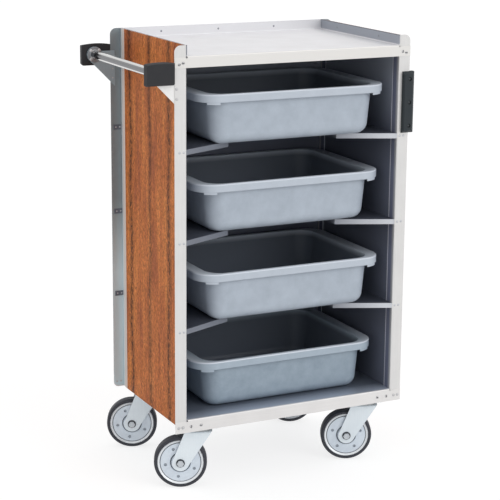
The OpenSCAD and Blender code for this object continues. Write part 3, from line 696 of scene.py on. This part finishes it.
# Painted reflection round the handle tube: tones by turn from the +X side over the top
TUBE_REFLECTION_TONES = (
    (0.00, (168, 170, 172)),
    (0.14, (186, 187, 188)),
    (0.19, (212, 212, 211)),
    (0.37, (206, 206, 205)),
    (0.395, (122, 122, 124)),
    (0.55, (108, 109, 112)),
    (0.575, (214, 213, 212)),
    (0.635, (216, 215, 214)),
    (0.665, (122, 122, 122)),
    (0.80, (96, 97, 99)),
    (1.00, (168, 170, 172)),
)
COLLAR_TONE = (138, 142, 147)
COLLAR_RANGE = (TUBE_R + 0.6 * MM, TUBE_R + 1.6 * MM)
# Values on the tube and on its collars
TUBE_METAL = (1.0, 0.3)
TUBE_ROUGHNESS = (0.16, 0.42)


def tube_chrome(name):
    """Polished tube with a painted reflection: bright over the top and along its lower side, with a dark
    band between.
    """
    material, tree, shader = new_finish(name)
    low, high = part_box("push_handle")
    place = places(tree)
    up = calc(tree, "SUBTRACT", place["Z"], (low.z + high.z) / 2)
    out = calc(tree, "SUBTRACT", place["X"], (low.x + high.x) / 2)
    turn = calc(tree, "FRACT", calc(tree, "DIVIDE", calc(tree, "ARCTAN2", up, out), math.tau))
    tree.links.new(tone_ramp(tree, turn, TUBE_REFLECTION_TONES), shader.inputs["Base Color"])
    squares = calc(tree, "ADD", times(tree, up, up), times(tree, out, out))
    collar = spread(tree, calc(tree, "SQRT", squares), *COLLAR_RANGE)
    tint(tree, shader, collar, COLLAR_TONE)
    tree.links.new(spread(tree, collar, 0.0, 1.0, *TUBE_METAL), shader.inputs["Metallic"])
    tree.links.new(spread(tree, collar, 0.0, 1.0, *TUBE_ROUGHNESS), shader.inputs["Roughness"])
    return material


FRONT_POST = post_steel("front_post_steel", (227, 226, 225), (217, 216, 215))[0]
BACK_POST = back_post_steel("back_post_steel", (232, 230, 228), (222, 220, 218))
SHELF = shelf_steel("shelf_steel", (238, 237, 240), (230, 229, 231))
BASE = base_steel("base_steel", (233, 231, 230), (224, 222, 221))
# The left ledges are a darker copy of the right ones: painted shade on the left side of the cabinet
LEDGE = {
    "left": ledge_steel("ledge_left_steel", (126, 131, 142), (116, 120, 131)),
    "right": ledge_steel("ledge_right_steel", (214, 217, 223), (200, 203, 209)),
}
CHANNEL = rolled_steel("channel_steel", "y", (150, 153, 158), (136, 139, 144), SHEET)[0]
BRACKET_FRONT = rolled_steel("front_bracket_steel", "z", (244, 243, 242), (238, 237, 236), SHEET)[0]
# The back bracket is a darker, cooler copy of the front one: painted shade, tinted cool against the
# wood's orange bounce
BRACKET_BACK = rolled_steel("back_bracket_steel", "z", (166, 186, 196), (154, 174, 184), SHEET)[0]
PANEL_LEFT = panel_steel("panel_left_steel", "end_panel_left", "x", 1)
PANEL_RIGHT = panel_steel("panel_right_steel", "end_panel_right", "x", -1)
PANEL_BACK = panel_steel("panel_back_steel", "back_panel", "y", -1)
WOOD_LEFT = wood_laminate("wood_left", "y", *reversed(node_span("laminate_left", "y")), strip=True)
WOOD_RIGHT = wood_laminate("wood_right", "y", *reversed(node_span("laminate_right", "y")), strip=True)
WOOD_BACK = wood_laminate("wood_back", "x", *node_span("laminate_back", "x"))
TOTE_PALE = tote_plastic("tote_plastic_pale", (171, 181, 193), (185, 195, 207), (214, 221, 230))
TOTE_DEEP = tote_plastic("tote_plastic_deep", (143, 158, 172), (161, 176, 189), (196, 208, 219))
BUMPER_RUBBER = moulded("bumper_rubber", (24, 25, 29), (33, 34, 39), RUBBER_SKIN)[0]
GUARD_RUBBER = moulded("guard_rubber", (24, 33, 38), (33, 42, 48), RUBBER_SKIN)[0]
TYRE_RUBBER = moulded("tyre_rubber", (40, 42, 50), (56, 58, 67), TYRE_SKIN)[0]
WHEEL_DISC = wheel_disc("wheel_disc", (209, 219, 230), (225, 234, 243))
CHROME = tube_chrome("tube_chrome")
ZINC = rolled_steel("caster_zinc", "z", (238, 246, 251), (227, 236, 243), FORK_STRIP)[0]
# The caster plates are a darker copy of the forks' zinc: painted shade under the base
PLATE_ZINC = rolled_steel("plate_zinc", "x", (172, 176, 178), (146, 150, 152), PLATE)[0]
AXLE_STEEL = marked_steel("axle_steel", "z", (214, 219, 224), (188, 194, 200), (58, 62, 68))
# The bolts' darkest tone is painted shade on the floors of their slots
BOLT_STEEL = marked_steel("bolt_steel", "x", (206, 205, 206), (188, 188, 190), (34, 34, 38))
RIVET_STEEL = rolled_steel("rivet_steel", "x", (206, 208, 212), (186, 188, 193), RIVETED)[0]
LIP_RIVET = rolled_steel("lip_rivet_steel", "x", (150, 153, 160), (132, 135, 142), RIVETED)[0]
GUARD_SCREW = rolled_steel("guard_screw_steel", "x", (74, 78, 82), (54, 58, 62), DARKENED)[0]


# Mesh making

MERGE = 0.000002
SMOOTH_ANGLE = 42
FLAT_ANGLE = 0.6
EDGE_ANGLE = 32
SLIVER = 0.15 * MM
BEVEL = {"offset_type": "OFFSET", "profile": 0.5, "material": -1}
# Zones that a mesh notes on its corners, as red, green and blue masks: plain, painted shade, and a
# painted highlight on a tote's rim and on its top edge
PLAIN = (0.0, 0.0, 0.0)
SHADED = (1.0, 0.0, 0.0)
RIM_HIGHLIGHT = (0.0, 1.0, 0.0)
RIM_EDGE_HIGHLIGHT = (0.0, 1.0, 1.0)


def finish_piece(name, shape, material, node, instead=True):
    """Turns a bmesh into an object that rides with a node and, as a rule, stands for it."""
    mesh = bpy.data.meshes.new(name)
    shape.to_mesh(mesh)
    shape.free()
    mesh.materials.append(material)
    mesh.shade_smooth()
    mesh.set_sharp_from_angle(angle=math.radians(SMOOTH_ANGLE))
    made = link_object(name, mesh)
    even = made.modifiers.new("even_normals", "WEIGHTED_NORMAL")
    even.keep_sharp = True
    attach(made, BODY_OF[node])
    if instead:
        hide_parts(node)
    return made


def close_up(shape):
    """Merges doubled corners and turns all faces outwards."""
    bmesh.ops.remove_doubles(shape, verts=shape.verts, dist=MERGE)
    bmesh.ops.recalc_face_normals(shape, faces=shape.faces)


def merge_slivers(shape, length=SLIVER):
    """Takes out edges that are too short to round over."""
    bmesh.ops.dissolve_degenerate(shape, dist=length, edges=shape.edges)


def unit_square(shape):
    return bmesh.ops.create_grid(shape, x_segments=1, y_segments=1, size=0.5)["verts"]


def whole(shape):
    return shape.verts[:] + shape.edges[:] + shape.faces[:]


def verts_in(geom):
    return [item for item in geom if isinstance(item, bmesh.types.BMVert)]


def new_zones(shape):
    return shape.verts.layers.float_color.new(ZONES)


def paint(verts, layer, zone):
    """Notes on corners of a mesh which zone they are in."""
    for vert in verts:
        vert[layer] = (*zone, 1.0)


def copy_of(node):
    """A merged copy of a node's mesh, with each flat face in one piece."""
    shape = bmesh.new()
    shape.from_mesh(NODES[node].data)
    bmesh.ops.remove_doubles(shape, verts=shape.verts, dist=MERGE)
    bmesh.ops.dissolve_limit(
        shape, angle_limit=math.radians(FLAT_ANGLE), verts=shape.verts, edges=shape.edges
    )
    return shape


def dressed(node, material, width, segments=2, keep_out=None, mark=None, rework=None):
    """A node's own shape, reworked if need be, with its edges rounded over bar those in keep_out.

    Where mark is given, mark(place) is the zone of each corner.
    """
    shape = copy_of(node)
    if rework:
        rework(shape)
    edges = [
        edge
        for edge in shape.edges
        if edge.is_manifold
        and edge.calc_face_angle() > math.radians(EDGE_ANGLE)
        and not (keep_out and keep_out(edge))
    ]
    bmesh.ops.bevel(
        shape, geom=edges, offset=width, segments=segments, affect="EDGES", clamp_overlap=True, **BEVEL
    )
    if mark:
        layer = new_zones(shape)
        for vert in shape.verts:
            paint([vert], layer, mark(vert.co))
    return finish_piece(node + "_rounded", shape, material, node)


# Totes

TOTE_WALL = 3 * MM
GRIP_LIP = 30 * MM
SIDE_LIP = 9 * MM
SKIRT_H = 20 * MM
RIM_R = 56 * MM
BODY_R = 46 * MM
TOTE_FLOOR_R = 28 * MM
TOTE_DRAFT = math.radians(5)
RIM_EDGE = 2.6 * MM
EDGE_DROP = 1.2 * MM
SKIRT_EDGE = 0.9 * MM
CORNER_SEGMENTS = 10
FLOOR_STEPS = 6
EDGE_STEPS = 4
SHADE_DROP = 16 * MM
LUG_FROM = 48
LUG_TO = 82
LUG_DROP = 5 * MM
LUG_SINK = 3 * MM
LUG_STEPS = 8


def tote_rings(length, width, height):
    """Section of a tote from its underside round the rim to its floor.

    Each ring is half the length and half the width between its corners' centres, the corners'
    radius, the height and the zone.
    """
    body_l = length - 2 * GRIP_LIP - 2 * BODY_R
    body_w = width - 2 * SIDE_LIP - 2 * BODY_R
    rim_l = length - 2 * RIM_R
    rim_w = width - 2 * RIM_R
    slope = math.tan(TOTE_DRAFT)
    straight = height - TOTE_FLOOR_R * (1 - math.sin(TOTE_DRAFT))
    foot = BODY_R - TOTE_FLOOR_R * math.cos(TOTE_DRAFT) - straight * slope

    def body(reach, z, zone=PLAIN):
        return (body_l / 2, body_w / 2, reach, z, zone)

    def rim(reach, z, zone=RIM_HIGHLIGHT):
        return (rim_l / 2, rim_w / 2, reach, z, zone)

    def floor_bend(radius, zone):
        angles = [(math.pi / 2 - TOTE_DRAFT) * k / FLOOR_STEPS for k in range(FLOOR_STEPS + 1)]
        return [
            body(foot + radius * math.sin(a), TOTE_FLOOR_R - radius * math.cos(a), zone) for a in angles
        ]

    quarter = [math.pi / 2 * k / EDGE_STEPS for k in range(EDGE_STEPS + 1)]
    under = height - TOTE_WALL
    skirt = height - SKIRT_H
    brim = BODY_R - TOTE_WALL
    rings = floor_bend(TOTE_FLOOR_R, PLAIN)
    rings += [
        body(BODY_R - SKIRT_H * slope, skirt),
        body(BODY_R - TOTE_WALL * slope, under),
        rim(RIM_R - TOTE_WALL, under),
        rim(RIM_R - TOTE_WALL, skirt + SKIRT_EDGE),
        rim(RIM_R - TOTE_WALL + SKIRT_EDGE, skirt),
        rim(RIM_R - SKIRT_EDGE, skirt),
        rim(RIM_R, skirt + SKIRT_EDGE),
        rim(RIM_R, height - RIM_EDGE - EDGE_DROP),
    ]
    rings += [
        rim(RIM_R - RIM_EDGE * (1 - math.cos(a)), height - RIM_EDGE * (1 - math.sin(a)), RIM_EDGE_HIGHLIGHT)
        for a in quarter
    ]
    rings += [
        body(brim + RIM_EDGE * (1 - math.sin(a)), height - RIM_EDGE * (1 - math.cos(a)), RIM_HIGHLIGHT)
        for a in quarter
    ]
    rings += [body(brim - SHADE_DROP * slope, height - SHADE_DROP, SHADED)]
    return rings + floor_bend(TOTE_FLOOR_R - TOTE_WALL, SHADED)[::-1]


def loft(shape, rings):
    """Walls carried from ring to ring round four corners, closed at both ends."""
    layer = new_zones(shape)
    half_l, half_w, radius, height, zone = rings[0]
    verts = unit_square(shape)
    bmesh.ops.scale(shape, vec=(2 * (half_l + radius), 2 * (half_w + radius), 1), verts=verts)
    bmesh.ops.translate(shape, vec=(0, 0, height), verts=verts)
    bmesh.ops.bevel(
        shape, geom=verts, offset=radius, segments=CORNER_SEGMENTS, affect="VERTICES", **BEVEL
    )
    edges = list(shape.edges)
    paint(shape.verts, layer, zone)
    for old, new in zip(rings, rings[1:]):
        grown = bmesh.ops.extrude_edge_only(shape, edges=edges)["geom"]
        verts = verts_in(grown)
        edges = [item for item in grown if isinstance(item, bmesh.types.BMEdge)]
        carry(shape, verts, old, new)
        paint(verts, layer, new[-1])
    bmesh.ops.contextual_create(shape, geom=edges)


def carry(shape, verts, old, new):
    """Moves a ring's corners from one ring's centres, radius and height to another's."""
    old_l, old_w, old_r, old_z, _ = old
    new_l, new_w, new_r, new_z, _ = new
    swell = new_r / old_r
    for turn_x in (-1, 1):
        for turn_y in (-1, 1):
            corner = [vert for vert in verts if vert.co.x * turn_x > 0 and vert.co.y * turn_y > 0]
            start = Vector((turn_x * old_l, turn_y * old_w, old_z))
            goal = Vector((turn_x * new_l, turn_y * new_w, new_z))
            space = Matrix.Translation(-start)
            bmesh.ops.scale(shape, vec=(swell, swell, 1), space=space, verts=corner)
            bmesh.ops.translate(shape, vec=goal - start, verts=corner)


def add_lugs(shape, size):
    """Lugs that hang from the skirt at the four corners of the rim."""
    part = bmesh.new()
    unit_square(part)
    upright = Matrix.Rotation(math.pi / 2, 3, "X")
    bmesh.ops.rotate(part, cent=(0, 0, 0), matrix=upright, verts=part.verts)
    bmesh.ops.scale(part, vec=(TOTE_WALL - 2 * SKIRT_EDGE, 1, LUG_DROP + LUG_SINK), verts=part.verts)
    middle = (RIM_R - TOTE_WALL / 2, 0, size.z - SKIRT_H + (LUG_SINK - LUG_DROP) / 2)
    bmesh.ops.translate(part, vec=middle, verts=part.verts)
    start = Matrix.Rotation(math.radians(LUG_FROM), 3, "Z")
    bmesh.ops.rotate(part, cent=(0, 0, 0), matrix=start, verts=part.verts)
    bmesh.ops.spin(
        part,
        geom=whole(part),
        cent=(0, 0, 0),
        axis=(0, 0, 1),
        angle=math.radians(LUG_TO - LUG_FROM),
        steps=LUG_STEPS,
    )
    bmesh.ops.holes_fill(part, edges=part.edges)
    bmesh.ops.translate(part, vec=(size.x / 2 - RIM_R, size.y / 2 - RIM_R, 0), verts=part.verts)
    for axis in ("X", "Y"):
        bmesh.ops.mirror(part, geom=whole(part), merge_dist=MERGE, axis=axis)
    layer = new_zones(part)
    # The lugs take the rim's painted highlight
    paint(part.verts, layer, RIM_HIGHLIGHT)
    held = bpy.data.meshes.new("lugs")
    part.to_mesh(held)
    part.free()
    shape.from_mesh(held)
    bpy.data.meshes.remove(held)


def tote(n):
    node = f"tote_{n}"
    low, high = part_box(node)
    size = high - low
    shape = bmesh.new()
    loft(shape, tote_rings(*size))
    add_lugs(shape, size)
    close_up(shape)
    bmesh.ops.translate(shape, vec=((low.x + high.x) / 2, (low.y + high.y) / 2, low.z), verts=shape.verts)
    plastic = TOTE_DEEP if n == TIERS[-1] else TOTE_PALE
    return finish_piece(node + "_moulding", shape, plastic, node)


for tier in TIERS:
    tote(tier)


# Push handle

TUBE_WALL = 1.6 * MM
COLLAR_T = 4 * MM
COLLAR_EDGE = 0.8 * MM
WELD = 2.2 * MM
TUBE_STEPS = 72


def push_handle():
    low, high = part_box("push_handle")
    half = (high.y - low.y) / 2
    collar_r = (high.z - low.z) / 2
    end = [
        (TUBE_R - TUBE_WALL, half),
        (collar_r - COLLAR_EDGE, half),
        (collar_r, half - COLLAR_EDGE),
        (collar_r, half - COLLAR_T + COLLAR_EDGE),
        (collar_r - COLLAR_EDGE, half - COLLAR_T),
        (TUBE_R + WELD, half - COLLAR_T),
        (TUBE_R + WELD / 3, half - COLLAR_T - WELD / 3),
        (TUBE_R, half - COLLAR_T - WELD),
    ]
    profile = end + [(radius, -place) for radius, place in reversed(end)]
    shape = bmesh.new()
    verts = [shape.verts.new((radius, place, 0)) for radius, place in profile]
    edges = [shape.edges.new(pair) for pair in zip(verts, verts[1:] + verts[:1])]
    bmesh.ops.spin(
        shape,
        geom=verts + edges,
        cent=(0, 0, 0),
        axis=(0, 1, 0),
        angle=math.tau,
        steps=TUBE_STEPS,
        use_merge=True,
    )
    close_up(shape)
    bmesh.ops.translate(shape, vec=(low + high) / 2, verts=shape.verts)
    return finish_piece("push_handle_tube", shape, CHROME, "push_handle")


push_handle()


# Rubber, sheet metal, casters and fasteners keep their own shapes, with their edges rounded over

RUBBER_EDGE = 1.4 * MM
RUBBER_SEGMENTS = 3
GUARD_SLOT_IN = 1.7 * MM
SHEET_EDGE = 0.35 * MM
SKIN_EDGE = 0.25 * MM
FORGED_EDGE = 0.6 * MM
SMALL_EDGE = 0.3 * MM
SLOT_EDGE = 0.12 * MM


def handle_bumper(side):
    return dressed("handle_bumper_" + side, BUMPER_RUBBER, RUBBER_EDGE, RUBBER_SEGMENTS)


def corner_guard(side):
    """A guard whose edges stay sharp in the slot that takes the post's flange."""
    post_low, post_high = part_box(f"post_{side}_right")
    flange = post_low.y if side == "front" else post_high.y

    def in_slot(edge):
        return all(abs(vert.co.y - flange) < GUARD_SLOT_IN for vert in edge.verts)

    node = "corner_guard_" + side
    return dressed(node, GUARD_RUBBER, RUBBER_EDGE, RUBBER_SEGMENTS, in_slot)


# How far each wheel has rolled, as seen from the front
WHEEL_TURNS = {"front_left": 26, "front_right": 55, "back_left": 27, "back_right": 40}
DISC_HALF = 13 * MM
SUNK_FROM = DISC_HALF - 0.6 * MM
SUNK_OVER = 1 * MM
RIM_FROM = DISC_HALF - 0.8 * MM
RIM_STEP = 6.5 * MM
RIM_SLACK = 0.4 * MM
DIMPLE_RING = 38.5 * MM
DIMPLE_REACH = 5.5 * MM


def wheel_line(corner):
    """Centre of a wheel and the direction of its axle towards the back."""
    low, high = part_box("wheel_" + corner)
    joint = next(j for j in frame["record"]["behaviour"]["joints"] if j["name"] == "roll_" + corner)
    axis = Vector(joint["axis"])
    return (low + high) / 2, axis if axis.y > 0 else -axis


def round_place(place, centre, axis):
    """A place's distance along an axle from the wheel's middle, and its distance from the axle."""
    out = place - centre
    along = out.dot(axis)
    return abs(along), (out - along * axis).length


def wheel(corner):
    """A wheel whose grooves and dimples are noted for painted shade, and its rim for a painted highlight.
    """
    node = "wheel_" + corner
    low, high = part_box(node)
    centre, axis = wheel_line(corner)
    rim_r = (high.z - low.z) / 2

    def turn(shape):
        matrix = Matrix.Rotation(math.radians(WHEEL_TURNS[corner]), 3, axis)
        bmesh.ops.rotate(shape, cent=centre, matrix=matrix, verts=shape.verts)

    def mark(place):
        along, radius = round_place(place, centre, axis)
        sunk = min(1.0, max(0.0, (SUNK_FROM - along) / SUNK_OVER))
        on_rim = radius > rim_r - RIM_STEP - RIM_SLACK and along > RIM_FROM
        dimple = abs(radius - DIMPLE_RING) < DIMPLE_REACH
        return (0.0, float(on_rim), sunk) if dimple else (sunk, float(on_rim), 0.0)

    return dressed(node, WHEEL_DISC, SMALL_EDGE, mark=mark, rework=turn)


WASHER_T = 1.5 * MM
WASHER_SLACK = 0.4 * MM


def axle(corner):
    """An axle bolt with dark washers under its head and nut."""
    centre, axis = wheel_line(corner)
    legs = [round_place(vert.co, centre, axis)[0] for vert in NODES["fork_" + corner].data.vertices]
    seat = max(legs) + WASHER_T + WASHER_SLACK

    def mark(place):
        return SHADED if round_place(place, centre, axis)[0] < seat else PLAIN

    return dressed("axle_" + corner, AXLE_STEEL, SMALL_EDGE, mark=mark)


SLOT_HALF = 0.9 * MM
SLOT_DEPTH = 0.9 * MM
SLOT_SLIVER = 0.06 * MM
SLOT_CUT = MERGE / 10
SLOT_FACING = 0.3
SLOT_SEED = 11
SLOTS_END = 6 * MM


def solids_of(shape):
    """The separate solids of a mesh, each as a list of its corners."""
    left = dict.fromkeys(shape.verts)
    solids = []
    while left:
        found = [next(iter(left))]
        del left[found[0]]
        for vert in found:
            for edge in vert.link_edges:
                other = edge.other_vert(vert)
                if other in left:
                    del left[other]
                    found.append(other)
        solids.append(found)
    return solids


def sink_slot(shape, layer, solid, angle):
    """Sinks a driver slot across the head of one fastener that lies along Y, and notes its floor for
    painted shade.
    """
    xs, ys, zs = zip(*(vert.co for vert in solid))
    middle = Vector((max(xs) + min(xs), max(ys) + min(ys), max(zs) + min(zs))) / 2
    widest = max(solid, key=lambda vert: Vector((vert.co.x - middle.x, vert.co.z - middle.z)).length)
    outward = math.copysign(1, widest.co.y - middle.y)
    across = Vector((math.cos(angle), 0, math.sin(angle)))
    geom = list(solid)
    geom += dict.fromkeys(edge for vert in solid for edge in vert.link_edges)
    geom += dict.fromkeys(face for vert in solid for face in vert.link_faces)
    for side in (-1, 1):
        wall = middle + side * SLOT_HALF * across
        cut = bmesh.ops.bisect_plane(shape, geom=geom, dist=SLOT_CUT, plane_co=wall, plane_no=across)
        geom = cut["geom"]
    shape.normal_update()
    strip = [
        face
        for face in geom
        if isinstance(face, bmesh.types.BMFace)
        and abs((face.calc_center_median() - middle).dot(across)) < SLOT_HALF
        and face.normal.y * outward > SLOT_FACING
    ]
    grown = bmesh.ops.extrude_face_region(shape, geom=strip)["geom"]
    bmesh.ops.delete(shape, geom=strip, context="FACES")
    sunk = verts_in(grown)
    bmesh.ops.translate(shape, vec=(0, -outward * SLOT_DEPTH, 0), verts=sunk)
    paint(sunk, layer, SHADED)


def slotted(node, reach=math.inf):
    """A group of fasteners, slotted if they are within reach of the opening's middle."""
    dice = random.Random(SLOT_SEED)

    def rework(shape):
        layer = new_zones(shape)
        paint(shape.verts, layer, PLAIN)
        for solid in solids_of(shape):
            angle = dice.uniform(0, math.pi)
            if abs(solid[0].co.x - MIDDLE_X) < reach:
                sink_slot(shape, layer, solid, angle)
        merge_slivers(shape, SLOT_SLIVER)

    return dressed(node, BOLT_STEEL, SLOT_EDGE, rework=rework)


LIP_T = 1.5 * MM
RIVET_R = 2.6 * MM
RIVET_H = 1.1 * MM
RIVET_ROUND = 20
RIVET_RINGS = 10
# Rivets along the lips of the top shelf, as shares of a lip's length from the back or from the left
END_RIVETS = (0.22, 0.75)
BACK_RIVETS = (0.19, 0.47, 0.75)


def lip_rivets():
    """Small round rivet heads on the inner faces of the top shelf's lips."""
    low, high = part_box("top_shelf")
    height = (TOP_Z + high.z) / 2
    front, back = low.y, high.y
    spots = []
    for side in (-1, 1):
        face = MIDDLE_X + side * (HALF_W - LIP_T)
        spots += [(face, back + share * (front - back), (-side, 0, 0)) for share in END_RIVETS]
    face = BACK_Y - LIP_T
    spots += [(OPENING_LEFT + share * 2 * HALF_W, face, (0, -1, 0)) for share in BACK_RIVETS]
    shape = bmesh.new()
    for x, y, out in spots:
        made = bmesh.ops.create_uvsphere(
            shape, u_segments=RIVET_ROUND, v_segments=RIVET_RINGS, radius=RIVET_R
        )["verts"]
        bmesh.ops.scale(shape, vec=(1, 1, RIVET_H / RIVET_R), verts=made)
        turn = Vector(out).to_track_quat("Z", "Y").to_matrix()
        bmesh.ops.rotate(shape, cent=(0, 0, 0), matrix=turn, verts=made)
        bmesh.ops.translate(shape, vec=(x, y, height), verts=made)
    close_up(shape)
    return finish_piece("lip_rivets", shape, LIP_RIVET, "top_shelf", False)


for side in ("front", "back"):
    handle_bumper(side)
    corner_guard(side)
for hand in ("left", "right"):
    dressed("post_front_" + hand, FRONT_POST, SHEET_EDGE)
    dressed("post_back_" + hand, BACK_POST, SHEET_EDGE)
    dressed("base_channel_" + hand, CHANNEL, SHEET_EDGE)
    for ledge in LEDGES:
        node = f"ledge_{hand}_{ledge}"
        dressed(node, LEDGE[hand], SHEET_EDGE, rework=merge_slivers)
dressed("base_shelf", BASE, SHEET_EDGE)
dressed("top_shelf", SHELF, SHEET_EDGE)
dressed("handle_bracket_front", BRACKET_FRONT, SHEET_EDGE)
dressed("handle_bracket_back", BRACKET_BACK, SHEET_EDGE)
dressed("end_panel_left", PANEL_LEFT, SHEET_EDGE)
dressed("end_panel_right", PANEL_RIGHT, SHEET_EDGE)
dressed("back_panel", PANEL_BACK, SHEET_EDGE)
dressed("laminate_left", WOOD_LEFT, SKIN_EDGE)
dressed("laminate_right", WOOD_RIGHT, SKIN_EDGE)
dressed("laminate_back", WOOD_BACK, SKIN_EDGE)
for caster in CORNERS:
    dressed("caster_plate_" + caster, PLATE_ZINC, FORGED_EDGE)
    dressed("fork_" + caster, ZINC, FORGED_EDGE)
    axle(caster)
    wheel(caster)
    dressed("tyre_" + caster, TYRE_RUBBER, SMALL_EDGE)
slotted("base_bolts", HALF_W - SLOTS_END)
slotted("fascia_screws")
dressed("handle_screws", BOLT_STEEL, SMALL_EDGE)
lip_rivets()
dressed("ledge_rivets", RIVET_STEEL, SMALL_EDGE)
dressed("guard_screws", GUARD_SCREW, SMALL_EDGE)
dressed("plate_bolts", ZINC, SMALL_EDGE)
for inner in ("kingpins", "swivel_balls"):
    NODES[inner].data.materials.clear()
    NODES[inner].data.materials.append(ZINC)


# Studio

make_camera()
make_world()
make_lamp("key_lamp", KEY_LIGHT, KEY_FROM)
make_floor()
bpy.context.scene.view_settings.view_transform = "Standard"
